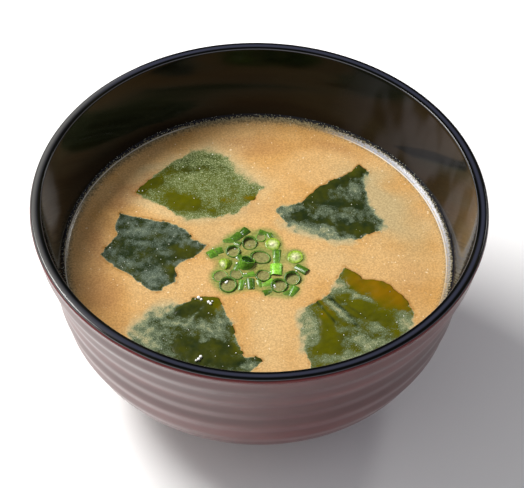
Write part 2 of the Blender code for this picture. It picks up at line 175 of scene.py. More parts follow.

# Painted glints, white beads that stand for highlights on wet spots: x, y from the middle of the heap, height over the
# broth, and length in millimetres.
GLINTS = [
    (-14.3, -30.2, 0.45, 0.9), (-14.8, -31.0, 0.45, 0.9), (-15.4, -31.4, 0.40, 0.6), (-15.6, -11.0, 0.40, 0.9),
    (-14.9, -11.6, 0.40, 0.7), (-13.0, -12.4, 0.40, 0.9), (-12.5, -12.9, 0.40, 0.7), (-12.1, -12.1, 0.40, 0.5), (-16.4, -11.5, 0.35, 0.3), (-5.6, -28.6, 0.35, 0.3),
    (-6.3, 0.9, 0.35, 0.55), (-6.4, 2.8, 0.15, 0.35), (-8.8, -5.5, 0.10, 0.75), (-8.5, -5.1, 0.15, 0.5),
    (3.5, -6.0, 0.10, 0.55), (3.7, -6.5, 0.10, 0.40), (1.8, -3.9, 0.10, 0.28), (9.0, -1.0, 0.20, 0.40),
    (11.3, -1.6, 0.10, 0.28), (-4.4, -2.4, 0.10, 0.40), (-3.8, -2.3, 0.10, 0.35), (-4.7, -3.2, 0.08, 0.28),
    (-5.0, 11.0, 0.25, 0.30), (-5.8, 10.8, 0.25, 0.25), (-1.7, -7.1, 0.10, 0.22), (9.1, -4.3, 0.08, 0.22),
    (-3.2, 7.5, 0.05, 0.20), (-6.2, 7.6, 0.10, 0.24), (-12.6, 5.8, 0.20, 0.30), (2.4, -1.5, 0.15, 0.30),
    (-6.9, 6.0, 0.10, 0.30), (-8.6, 4.4, 0.10, 0.35), (-3.9, -5.8, 0.15, 0.35), (-3.9, -6.8, 0.12, 0.30),
]


# ---------------------------------------------------------------------------------------- settings

def length_setting(name, description, default):
    return FloatProperty(name=name, description=description, default=default, min=0.0,
                         subtype="DISTANCE", unit="LENGTH")


def share_setting(name, description, default):
    return FloatProperty(name=name, description=description, default=default, min=0.0, max=1.0,
                         subtype="FACTOR")


def colour_setting(name, description, default):
    return FloatVectorProperty(name=name, description=description, default=default, size=3,
                               min=0.0, max=1.0, subtype="COLOR")


class BowlSettings(PropertyGroup):
    """Finish of the lacquer bowl."""
    facets: IntProperty(name="Facets", description="Facets round the bowl", default=240, min=32)
    step: length_setting("Step", "Spacing of points along the turned profile", 0.7 * MM)
    black: colour_setting("Black lacquer", "Inside and lip", (0.0010, 0.0012, 0.0008))
    # Painted reflection of the broth and leaves in the black lacquer, drawn as streaks on the inside.
    reflection_streak: colour_setting("Streak", "Worn streaks on the inside", (0.0065, 0.0055, 0.0022))
    brown: colour_setting("Brown lacquer", "Outside", (0.104, 0.026, 0.026))
    red: colour_setting("Red edge", "Line where the black lacquer ends", (0.105, 0.009, 0.010))
    # Painted reflection of the bluish room on the lip's flat land.
    lip: colour_setting("Lip", "Land of the lip, on its bluer side", (0.023, 0.025, 0.040))
    edge_width: length_setting("Edge width", "Width of the red line under the lip", 0.9 * MM)
    gloss_roughness: share_setting("Inside roughness", "Roughness of the black lacquer", 0.07)
    satin_roughness: share_setting("Outside roughness", "Roughness of the brown lacquer", 0.38)


class BrothSettings(PropertyGroup):
    """Look of the broth."""
    rings: IntProperty(name="Rings", description="Rings of faces from middle to wall", default=150, min=20)
    cream: colour_setting("Cream", "Broth where it is paler", (0.520, 0.320, 0.130))
    tan: colour_setting("Tan", "Broth where it is deeper", (0.480, 0.265, 0.085))
    khaki: colour_setting("Khaki", "Broth close to a leaf", (0.400, 0.325, 0.175))
    bright: colour_setting("Bright", "Palest broth", (0.550, 0.370, 0.170))
    # Brown is also painted shade, where BROTH_TONES puts it along the wall.
    brown: colour_setting("Brown", "Deepest broth", (0.330, 0.165, 0.062))
    # Partly thin broth over the dark lacquer, partly painted shade and reflection of the dark wall on the broth.
    shallow_and_shade: colour_setting("Shallow", "Thin broth near the wall", (0.130, 0.122, 0.072))
    shore: colour_setting("Shore", "Film of broth on the wall", (0.008, 0.008, 0.011))
    froth: colour_setting("Froth", "Froth over a sunk leaf", (0.106, 0.138, 0.048))
    cool_froth: colour_setting("Cool froth", "Bluer froth", (0.094, 0.120, 0.088))
    grain: length_setting("Grain", "Size of the miso grains", 0.46 * MM)
    clouds: length_setting("Clouds", "Size of the paler clouds", 14 * MM)
    shore_width: length_setting("Shore width", "Width of the dark film on the wall", 0.85 * MM)
    rise: length_setting("Meniscus", "Height that the broth climbs at the wall", 1.7 * MM)
    run: length_setting("Meniscus width", "Distance over which it climbs", 1.3 * MM)
    clearness: length_setting("Clearness", "Depth at which a sunk leaf fades out", 0.55 * MM)
    roughness: share_setting("Roughness", "Roughness of the surface", 0.16)


class WakameSettings(PropertyGroup):
    """Look of the wakame."""
    cell: length_setting("Cell", "Spacing of the leaf's points", 0.45 * MM)
    thickness: length_setting("Thickness", "Thickness of a leaf", 0.35 * MM)
    ragged: length_setting("Ragged", "Unevenness of its torn edge", 0.24 * MM)
    dark: colour_setting("Dark", "Thick leaf", (0.013, 0.021, 0.006))
    olive: colour_setting("Olive", "Thin leaf", (0.074, 0.074, 0.001))
    amber: colour_setting("Amber", "Thinnest leaf over the broth", (0.165, 0.088, 0.001))
    roughness: share_setting("Roughness", "Roughness of the wet leaf", 0.25)


class OnionSettings(PropertyGroup):
    """Look of the spring onion."""
    wall: length_setting("Wall", "Wall of a ring 4 mm across", 0.36 * MM)
    dark: colour_setting("Dark skin", "Outside of a dark piece", (0.028, 0.072, 0.004))
    bright: colour_setting("Bright skin", "Outside of a bright piece", (0.20, 0.46, 0.040))
    flesh: colour_setting("Flesh", "Cut edge and inside of a ring", (0.12, 0.25, 0.035))
    pale: colour_setting("Pale", "Heart of a slice from the white end", (0.54, 0.54, 0.31))
    rind: colour_setting("Rind", "Outer layer of such a slice", (0.21, 0.33, 0.020))
    roughness: share_setting("Roughness", "Roughness of the wet onion", 0.22)


class BeadSettings(PropertyGroup):
    """Small bubbles and drops."""
    size: length_setting("Size", "Diameter of a middling bubble", 0.24 * MM)
    per_leaf: IntProperty(name="Per leaf", description="Bubbles on each leaf", default=46, min=0)
    on_wall: IntProperty(name="On wall", description="Drops on the wall over the broth", default=420, min=0)


class StageSettings(PropertyGroup):
    """Camera, floor and light."""
    elevation: FloatProperty(name="Elevation", description="Camera's height above the horizon",
                             default=math.radians(48.4), subtype="ANGLE", unit="ROTATION")
    roll: FloatProperty(name="Roll", description="Camera's roll", default=math.radians(1.7),
                        subtype="ANGLE", unit="ROTATION")
    distance: length_setting("Distance", "Camera's distance from what it aims at", 0.613)
    lens: FloatProperty(name="Lens", description="Focal length in millimetres", default=164.9, min=1.0)
    aim_across: FloatProperty(name="Aim across", description="Aim's offset to the right", default=0.9 * MM,
                              subtype="DISTANCE", unit="LENGTH")
    aim_height: length_setting("Aim height", "Height that the camera aims at", 43.6 * MM)
    sky: FloatProperty(name="Sky", description="Strength of the room's light", default=0.75, min=0.0)
    key: FloatProperty(name="Key", description="Power of the main lamp in watts", default=10.9, min=0.0)
    edge: FloatProperty(name="Edge", description="Power of the small lamp behind, in watts", default=0.8, min=0.0)


# ---------------------------------------------------------------------------------------- numbers

def soft_step(low, high, value):
    share = np.clip((value - low) / (high - low), 0.0, 1.0)
    return share * share * (3.0 - 2.0 * share)


def ripples(x, y, size, seed, waves=14):
    """A smooth uneven field of about -1 to 1 with features of a given size: a sum of seeded sine waves."""
    draw = np.random.default_rng(seed)
    field = np.zeros_like(x)
    for heading, stretch, phase in zip(draw.uniform(0, math.tau, waves), draw.uniform(0.7, 1.5, waves),
                                       draw.uniform(0, math.tau, waves)):
        turn = math.tau / (2.2 * size * stretch)
        field += np.sin((x * math.cos(heading) + y * math.sin(heading)) * turn + phase)
    return field / math.sqrt(waves)


def distance_to_outline(x, y, outline):
    """Distance of each point to a closed outline, positive inside it."""
    nearest = np.full(x.shape, np.inf)
    inside = np.zeros(x.shape, bool)
    for (x_a, y_a), (x_b, y_b) in zip(outline, np.roll(outline, -1, axis=0)):
        along_x, along_y = x_b - x_a, y_b - y_a
        share = ((x - x_a) * along_x + (y - y_a) * along_y) / (along_x ** 2 + along_y ** 2)
        share = np.clip(share, 0.0, 1.0)
        nearest = np.minimum(nearest, np.hypot(x - x_a - share * along_x, y - y_a - share * along_y))
        if y_a != y_b:
            crossing = x_a + (y - y_a) / (y_b - y_a) * along_x
            inside ^= ((y_a > y) != (y_b > y)) & (x < crossing)
    return np.where(inside, nearest, -nearest)


def smooth_course(points, step):
    """Points about a step apart on a centripetal Catmull-Rom curve through the given ones."""
    points = [Vector(point) for point in points]
    ends = [2 * points[0] - points[1]] + points + [2 * points[-1] - points[-2]]
    course = []
    for before, start, end, after in zip(ends, ends[1:], ends[2:], ends[3:]):
        knots = [0.0]
        for a, b in ((before, start), (start, end), (end, after)):
            knots.append(knots[-1] + max((b - a).length, 1e-9) ** 0.5)
        pieces = max(1, math.ceil((end - start).length / step))
        for piece in range(pieces):
            t = knots[1] + (knots[2] - knots[1]) * piece / pieces
            course.append(centripetal_point((before, start, end, after), knots, t))
    return course + [points[-1]]


def centripetal_point(points, knots, t):
    def between(a, b, low, high):
        return a * ((high - t) / (high - low)) + b * ((t - low) / (high - low))
    p, k = points, knots
    first = [between(p[i], p[i + 1], k[i], k[i + 1]) for i in range(3)]
    second = [between(first[i], first[i + 1], k[i], k[i + 2]) for i in range(2)]
    return between(second[0], second[1], k[1], k[2])


# ---------------------------------------------------------------------------------------- frame

def merged_copy(node):
    """A CAD node's mesh as a bmesh with its doubles merged."""
    shape = bmesh.new()
    shape.from_mesh(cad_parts[node].data)
    bmesh.ops.remove_doubles(shape, verts=shape.verts, dist=0.002 * MM)
    return shape


def turned_profile(node):
    """(radius, height) points of a turned node's section at +X, from the middle of its inside to the axis below."""
    shape = merged_copy(node)
    section = [v for v in shape.verts if abs(v.co.y) < 0.01 * MM and v.co.x > -0.01 * MM]
    here = max((v for v in section if v.co.x < 0.01 * MM), key=lambda v: v.co.z)
    found, profile = set(section), []
    while here is not None:
        profile.append((max(here.co.x, 0.0), here.co.z))
        found.discard(here)
        beside = [edge.other_vert(here) for edge in here.link_edges]
        here = next((v for v in beside if v in found), None)
    shape.free()
    radius, height = profile[-1]
    if radius > 2.0 * MM:
        profile += [(radius - 1.0 * MM, height), (radius - 2.0 * MM, height), (0.0, height)]
    return profile


def leaf_outline(node):
    """The outline of a leaf seen from above, from the upper edge of its cut sides."""
    shape = merged_copy(node)
    shape.normal_update()
    rim = {}
    for edge in shape.edges:
        tops = [face for face in edge.link_faces if face.normal.z > 0.5]
        sides = [face for face in edge.link_faces if abs(face.normal.z) < 0.2]
        if len(tops) == 1 and len(sides) == 1:
            loop = next(loop for loop in tops[0].loops if loop.edge == edge)
            rim[loop.vert.index] = (loop.link_loop_next.vert.index, loop.vert.co.xy.copy())
    start = min(rim)
    outline, here = [], start
    while True:
        here, place = rim[here]
        outline.append(tuple(place))
        if here == start:
            break
    shape.free()
    return np.array(outline)


def ragged_outline(outline, settings, seed):
    """The outline with points close together, pushed in and out as a torn edge is."""
    course = []
    for a, b in zip(outline, np.roll(outline, -1, axis=0)):
        pieces = max(1, round(float(np.hypot(*(b - a))) / (0.8 * settings.cell)))
        course += [a + (b - a) * piece / pieces for piece in range(pieces)]
    course = np.array(course)
    for _ in range(2):
        course = (np.roll(course, 1, axis=0) + 2 * course + np.roll(course, -1, axis=0)) / 4
    along = np.roll(course, -1, axis=0) - np.roll(course, 1, axis=0)
    outward = np.stack([along[:, 1], -along[:, 0]], axis=1)
    outward /= np.linalg.norm(outward, axis=1)[:, None]
    x, y = course[:, 0], course[:, 1]
    push = 0.45 * ripples(x, y, 2.2 * MM, seed) + 0.5 * ripples(x, y, 0.8 * MM, seed + 1)
    return course + outward * (push * settings.ragged)[:, None]


class Leaf:
    """One leaf: its torn outline, how high it floats at any place, and how thin it is there."""

    def __init__(self, node, settings):
        self.node = node
        self.seed = 40 + 10 * LEAF_NODES.index(node)
        self.lie = LEAF_LIES[node]
        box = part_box(node)
        self.low, self.high = np.array(box[0][:2]), np.array(box[1][:2])
        self.outline = ragged_outline(leaf_outline(node), settings, self.seed)

    def patched(self, x, y, patches):
        """What a list of patches adds up to at each point."""
        x = x + 0.45 * MM * ripples(x, y, 2.0 * MM, self.seed + 5)
        y = y + 0.45 * MM * ripples(x, y, 2.0 * MM, self.seed + 6)
        total = np.zeros_like(x)
        for across, up, long, wide, heading, amount in patches:
            centre = self.low + (self.high - self.low) * (across, up)
            turn = math.radians(heading)
            along = (x - centre[0]) * math.cos(turn) + (y - centre[1]) * math.sin(turn)
            aside = (y - centre[1]) * math.cos(turn) - (x - centre[0]) * math.sin(turn)
            away = np.hypot(along / (long * MM), aside / (wide * MM))
            total += amount * np.exp(-away ** 2.6)
        return total

    def rise(self, x, y, inside):
        """Height of the leaf's top above the broth, given each point's distance inside the outline."""
        rise = self.lie["rise"] + self.patched(x, y, self.lie["patches"])
        rise += 0.05 * ripples(x, y, 2.4 * MM, self.seed + 3) + 0.03 * ripples(x, y, 0.9 * MM, self.seed + 4)
        rise -= 0.03 * np.exp(-np.maximum(inside, 0.0) / (0.3 * MM))
        return np.clip(rise, -1.6, 0.5) * MM

    def thin(self, x, y):
        thin = self.lie["thin"] + self.patched(x, y, self.lie["tones"])
        for x_a, y_a, x_b, y_b, width, depth in self.lie.get("creases", []):
            along_x, along_y = x_b - x_a, y_b - y_a
            share = ((x / MM - x_a) * along_x + (y / MM - y_a) * along_y) / (along_x ** 2 + along_y ** 2)
            share = np.clip(share, 0.0, 1.0)
            away = np.hypot(x / MM - x_a - share * along_x, y / MM - y_a - share * along_y)
            thin -= depth * (1.0 - 0.5 * share) * np.exp(-(away / width) ** 2)
        return thin + 0.04 * ripples(x, y, 3.0 * MM, self.seed + 7)


def leaf_cover(rise, clearness):
    """1 where a leaf is clear of the broth, falling towards 0 as the broth over it deepens."""
    return np.exp(-np.maximum(0.05 * MM - rise, 0.0) / clearness)


# ---------------------------------------------------------------------------------------- nodes

def add_node(tree, kind, inputs=None, **settings):
    """A node with its settings, and each input set to a value or linked from a socket."""
    node = tree.nodes.new(kind)
    for name, value in settings.items():
        setattr(node, name, value)
    for key, value in (inputs or {}).items():
        if isinstance(value, bpy.types.NodeSocket):
            tree.links.new(value, node.inputs[key])
        else:
            node.inputs[key].default_value = value
    return node


def maths(tree, operation, a, b=0.0, clamp=False):
    node = add_node(tree, "ShaderNodeMath", {0: a, 1: b}, operation=operation, use_clamp=clamp)
    return node.outputs[0]


def spread(tree, value, low, high, to_low=0.0, to_high=1.0, smooth=True):
    """A value brought from one range to another, and kept inside it."""
    kind = "SMOOTHSTEP" if smooth else "LINEAR"
    node = add_node(tree, "ShaderNodeMapRange", {"Value": value, "From Min": low, "From Max": high,
                                                 "To Min": to_low, "To Max": to_high},
                    interpolation_type=kind)
    return node.outputs["Result"]


def band(tree, value, centre, reach):
    """1 where a value is at the centre, falling to 0 at the given reach on either side."""
    return maths(tree, "MULTIPLY", spread(tree, value, centre - reach, centre),
                 spread(tree, value, centre, centre + reach, 1.0, 0.0))


def socket_named(sockets, identifier):
    return next(socket for socket in sockets if socket.identifier == identifier)


def mix_colour(tree, factor, a, b, mode="MIX"):
    node = tree.nodes.new("ShaderNodeMix")
    node.data_type = "RGBA"
    node.blend_type = mode
    for identifier, value in (("Factor_Float", factor), ("A_Color", a), ("B_Color", b)):
        socket = socket_named(node.inputs, identifier)
        if isinstance(value, bpy.types.NodeSocket):
            tree.links.new(value, socket)
        elif identifier == "Factor_Float":
            socket.default_value = value
        else:
            socket.default_value = (*value[:3], 1.0)
    return socket_named(node.outputs, "Result_Color")


def attribute(tree, name):
    return add_node(tree, "ShaderNodeAttribute", attribute_type="GEOMETRY", attribute_name=name).outputs["Fac"]


def cloud(tree, size, detail=2.0, roughness=0.5, stretch=None):
    """Noise on Object coordinates with features of about a given size, in metres or from a socket."""
    place = add_node(tree, "ShaderNodeTexCoord").outputs["Object"]
    if stretch is not None:
        place = add_node(tree, "ShaderNodeMapping", {"Vector": place, "Scale": stretch}).outputs[0]
    scale = maths(tree, "DIVIDE", 1.0, size)
    node = add_node(tree, "ShaderNodeTexNoise", {"Vector": place, "Scale": scale, "Detail": detail,
                                                 "Roughness": roughness})
    return node.outputs["Fac"]


def new_group(name, kind, inputs, outputs):
    """A node group with its named sockets. An input is (name, socket type, default)."""
    tree = bpy.data.node_groups.new(name, kind)
    for label, socket_type, default in inputs:
        socket = tree.interface.new_socket(label, in_out="INPUT", socket_type=socket_type)
        if default is not None:
            socket.default_value = default
    for label, socket_type in outputs:
        tree.interface.new_socket(label, in_out="OUTPUT", socket_type=socket_type)
    return tree, tree.nodes.new("NodeGroupInput").outputs, tree.nodes.new("NodeGroupOutput").inputs


def new_material(name):
    material = bpy.data.materials.new(name)
    material.use_nodes = True
    tree = material.node_tree
    return material, tree, tree.nodes["Principled BSDF"]


def wire(tree, pairs):
    for source, target in pairs:
        tree.links.new(source, target)


def group_node(tree, name, inputs=None):
    return add_node(tree, "ShaderNodeGroup", node_tree=bpy.data.node_groups[name]) if inputs is None \
        else fill_group(tree, name, inputs)


def fill_group(tree, name, inputs):
    node = tree.nodes.new("ShaderNodeGroup")
    node.node_tree = bpy.data.node_groups[name]
    for key, value in inputs.items():
        if isinstance(value, bpy.types.NodeSocket):
            tree.links.new(value, node.inputs[key])
        else:
            node.inputs[key].default_value = value
    return node


def grain_group():
    """Fine grains of miso: a value about 0.5, and a mask of scattered pale specks."""
    tree, given, out = new_group("Miso grains", "ShaderNodeTree", [("Size", "NodeSocketFloat", 0.0004)],
                                 [("Grain", "NodeSocketFloat"), ("Specks", "NodeSocketFloat")])
    fine = cloud(tree, given["Size"], detail=2.0, roughness=0.7)
    specks = cloud(tree, maths(tree, "MULTIPLY", given["Size"], 1.7), detail=1.0)
    wire(tree, [(spread(tree, fine, 0.30, 0.70), out["Grain"]),
                (spread(tree, specks, 0.70, 0.80), out["Specks"])])


def broth_colour_group(settings):
    """Colour of the open broth: paler clouds, brown patches partly painted as shade, khaki close to a leaf, and grains
    all over.
    """
    tree, given, out = new_group("Broth colour", "ShaderNodeTree",
                                 [("Near leaf", "NodeSocketFloat", 0.0)], [("Color", "NodeSocketColor")])
    clouds = spread(tree, cloud(tree, settings.clouds, detail=3.0), 0.36, 0.64)
    colour = mix_colour(tree, clouds, settings.tan, settings.cream)
    # Brown patches: the broth's deeper tone, and painted shade along the wall.
    colour = mix_colour(tree, maths(tree, "MULTIPLY", attribute(tree, "brown"), 0.75), colour, settings.brown)
    colour = mix_colour(tree, maths(tree, "MULTIPLY", attribute(tree, "cream"), 0.8), colour, settings.bright)
    khaki = maths(tree, "MAXIMUM", given["Near leaf"], maths(tree, "MULTIPLY", attribute(tree, "khaki"), 0.8))
    colour = mix_colour(tree, khaki, colour, settings.khaki)
    grains = fill_group(tree, "Miso grains", {"Size": settings.grain})
    shade = spread(tree, grains.outputs["Grain"], 0.0, 1.0, 0.80, 1.15, smooth=False)
    colour = mix_colour(tree, 1.0, colour, grey(tree, shade), mode="MULTIPLY")
    specks = maths(tree, "MULTIPLY", grains.outputs["Specks"], 0.55)
    wire(tree, [(mix_colour(tree, specks, colour, (0.92, 0.80, 0.56)), out["Color"])])


def grey(tree, value):
    return add_node(tree, "ShaderNodeCombineColor", {"Red": value, "Green": value, "Blue": value}).outputs[0]


def haze_group(settings):
    """A leaf seen through broth: cover is 1 where it is clear of the broth and 0 where it is out of sight.

    On its way down, froth settles on it in grains, and then the grains close up into plain broth."""
    tree, given, out = new_group("Leaf in broth", "ShaderNodeTree",
                                 [("Cover", "NodeSocketFloat", 1.0), ("Cool", "NodeSocketFloat", 0.5),
                                  ("Leaf", "NodeSocketColor", None), ("Broth", "NodeSocketColor", None)],
                                 [("Color", "NodeSocketColor")])
    fine = spread(tree, cloud(tree, 0.30 * MM, detail=2.0, roughness=0.8), 0.30, 0.70, smooth=False)
    mottle = spread(tree, cloud(tree, 2.0 * MM, detail=4.0, roughness=0.62), 0.32, 0.68, smooth=False)
    share = spread(tree, given["Cool"], 0.0, 0.7, 0.26, 0.60)
    texture = maths(tree, "ADD", fine, maths(tree, "MULTIPLY", share, maths(tree, "SUBTRACT", mottle, fine)))
    veil = maths(tree, "SUBTRACT", 1.0, given["Cover"])
    swing = maths(tree, "MULTIPLY", maths(tree, "SUBTRACT", texture, 0.5), spread(tree, given["Cool"], 0.75, 1.0, 1.08, 0.72))
    swing = maths(tree, "MULTIPLY", swing, spread(tree, veil, 0.0, 0.12, 0.30, 1.0))
    swing = maths(tree, "MULTIPLY", swing, spread(tree, veil, 0.75, 1.0, 1.0, 0.0))
    uneven = maths(tree, "ADD", veil, swing)
    froth = mix_colour(tree, given["Cool"], settings.froth, settings.cool_froth)
    veiled = mix_colour(tree, maths(tree, "MULTIPLY", spread(tree, uneven, 0.0, 0.55), 0.85), given["Leaf"], froth)
    pale = mix_colour(tree, given["Cool"], (0.215, 0.232, 0.105), (0.205, 0.225, 0.135))
    rough_light = spread(tree, fine, 0.0, 1.0, 0.70, 1.30, smooth=False)
    pale = mix_colour(tree, 1.0, pale, grey(tree, rough_light), mode="MULTIPLY")
    pale = mix_colour(tree, spread(tree, uneven, 0.70, 1.0, 0.0, 0.45), pale, (0.260, 0.235, 0.115))
    veiled = mix_colour(tree, spread(tree, uneven, 0.42, 0.92), veiled, pale)
    bright = maths(tree, "MULTIPLY", spread(tree, fine, 0.66, 0.95), spread(tree, veil, 0.04, 0.35, 0.0, 0.6))
    bright = maths(tree, "MULTIPLY", bright, spread(tree, given["Cool"], 0.0, 1.0, 1.0, 0.55))
    speck = mix_colour(tree, given["Cool"], (0.40, 0.43, 0.27), (0.27, 0.34, 0.29))
    veiled = mix_colour(tree, bright, veiled, speck)
    hidden = spread(tree, maths(tree, "ADD", veil, maths(tree, "MULTIPLY", swing, 0.3)), 0.66, 0.98)
    wire(tree, [(mix_colour(tree, hidden, veiled, given["Broth"]), out["Color"])])


def leaf_colour_group(settings):
    """Colour of a leaf: dark where it is thick, olive and amber where it is thin."""
    tree, given, out = new_group("Leaf colour", "ShaderNodeTree", [("Thin", "NodeSocketFloat", 0.3)],
                                 [("Color", "NodeSocketColor")])
    blotch = spread(tree, cloud(tree, 1.8 * MM, detail=3.0), 0.3, 0.7, -0.07, 0.07, smooth=False)
    thin = maths(tree, "ADD", given["Thin"], blotch)
    colour = mix_colour(tree, spread(tree, thin, 0.0, 0.5, smooth=False), settings.dark, settings.olive)
    amber = mix_colour(tree, spread(tree, thin, 0.5, 1.0, smooth=False), colour, settings.amber)
    wire(tree, [(amber, out["Color"])])


def make_groups(scene):
    grain_group()
    broth_colour_group(scene.miso_broth)
    haze_group(scene.miso_broth)
    leaf_colour_group(scene.miso_wakame)


# ---------------------------------------------------------------------------------------- materials

def lacquer_material(settings):
    """Black gloss inside, satin red-brown under clear lacquer outside, and a red line between them where the black
    wears thin; with painted reflections on the lip and the inner wall, painted highlight lines on the lip's edges, and
    painted light and shade in bands round the outside.
    """
    material, tree, shader = new_material("Lacquer")
    outside = attribute(tree, "outside")
    drift = spread(tree, cloud(tree, 9 * MM, stretch=(1.0, 1.0, 2.5)), 0.3, 0.7, -0.12, 0.12)
    edge = maths(tree, "ADD", outside, drift)
    black_to_red = spread(tree, edge, -0.85, -0.50)
    red_to_brown = spread(tree, edge, 0.35, 1.50)
    mottle = spread(tree, cloud(tree, 6 * MM, detail=4.0, stretch=(1.0, 1.0, 3.0)), 0.3, 0.7, 0.90, 1.10)
    # Painted light and shade on the ribs: lighter and darker bands round the outside, by height.
    rib_light_bands = spread(tree, cloud(tree, 5.5 * MM, detail=1.0, stretch=(0.04, 0.04, 1.0)), 0.35, 0.65, 0.72, 1.15)
    shade = maths(tree, "MULTIPLY", mottle, rib_light_bands)
    brown = mix_colour(tree, 1.0, settings.brown, grey(tree, shade), mode="MULTIPLY")
    colour = mix_colour(tree, red_to_brown, settings.red, brown)
    place = add_node(tree, "ShaderNodeTexCoord").outputs["Object"]
    across = add_node(tree, "ShaderNodeSeparateXYZ", {0: place}).outputs["X"]
    # Painted reflection of the room on the lip's land: grey on the far left, where the band is also wider, and navy
    # from there round to the right.
    land_reflection = mix_colour(tree, spread(tree, outside, -2.8, -1.5), (0.010, 0.010, 0.012), (0.085, 0.084, 0.082))
    lip = mix_colour(tree, spread(tree, across, -52 * MM, -26 * MM), land_reflection, settings.lip)
    fade = spread(tree, across, -45 * MM, -20 * MM, 0.7, 0.0)
    outer = maths(tree, "SUBTRACT", outside, fade)
    land = maths(tree, "MULTIPLY", spread(tree, outside, -3.1, -2.5), spread(tree, outer, -2.2, -1.5, 1.0, 0.0))
    # Painted highlights: thin pale lines along the lip's inner and outer rounded edges.
    highlight_lines = maths(tree, "MAXIMUM", band(tree, outside, -3.75, 0.22), band(tree, outside, -0.80, 0.22))
    lip = mix_colour(tree, maths(tree, "MULTIPLY", highlight_lines, 0.7), lip, (0.125, 0.122, 0.125))
    land = maths(tree, "MAXIMUM", land, highlight_lines)
    # Olive-brown streaks on the inside: painted reflection of the broth and leaves.
    streaks = spread(tree, cloud(tree, 9 * MM, detail=3.0, stretch=(0.3, 0.3, 1.6)), 0.45, 0.72)
    inside = mix_colour(tree, streaks, settings.black, settings.reflection_streak)
    # Painted reflection: a faint grey cloud on the inner wall's right side.
    wall_reflection = spread(tree, cloud(tree, 7 * MM, detail=1.0, stretch=(1.0, 1.0, 0.4)), 0.35, 0.62)
    wall_reflection = maths(tree, "MULTIPLY", wall_reflection, spread(tree, across, 14 * MM, 44 * MM))
    wall_reflection = maths(tree, "MULTIPLY", wall_reflection, spread(tree, outside, -5.2, -4.3, 1.0, 0.0))
    inside = mix_colour(tree, wall_reflection, inside, (0.028, 0.027, 0.030))
    colour = mix_colour(tree, black_to_red, mix_colour(tree, land, inside, lip), colour)
    rough = spread(tree, red_to_brown, 0.0, 1.0, settings.gloss_roughness, settings.satin_roughness)
    fine = cloud(tree, 0.8 * MM, detail=3.0, stretch=(1.0, 1.0, 4.0))
    rough = maths(tree, "ADD", rough, maths(tree, "MULTIPLY", fine, 0.03))
    shader.inputs["Specular IOR Level"].default_value = 0.22
    shader.inputs["Coat Roughness"].default_value = settings.satin_roughness
    shader.inputs["Coat IOR"].default_value = 1.43
    wire(tree, [(colour, shader.inputs["Base Color"]), (rough, shader.inputs["Roughness"]),
                (red_to_brown, shader.inputs["Coat Weight"])])
    return material


def leaf_look(tree, near_leaf):
    """Colour of leaf and broth together, from the attributes of the mesh."""
    broth = fill_group(tree, "Broth colour", {"Near leaf": near_leaf})
    leaf = fill_group(tree, "Leaf colour", {"Thin": attribute(tree, "thin")})
    return fill_group(tree, "Leaf in broth", {"Cover": attribute(tree, "cover"),
                                              "Cool": attribute(tree, "cool"),
                                              "Leaf": leaf.outputs[0],
                                              "Broth": broth.outputs[0]}).outputs[0]


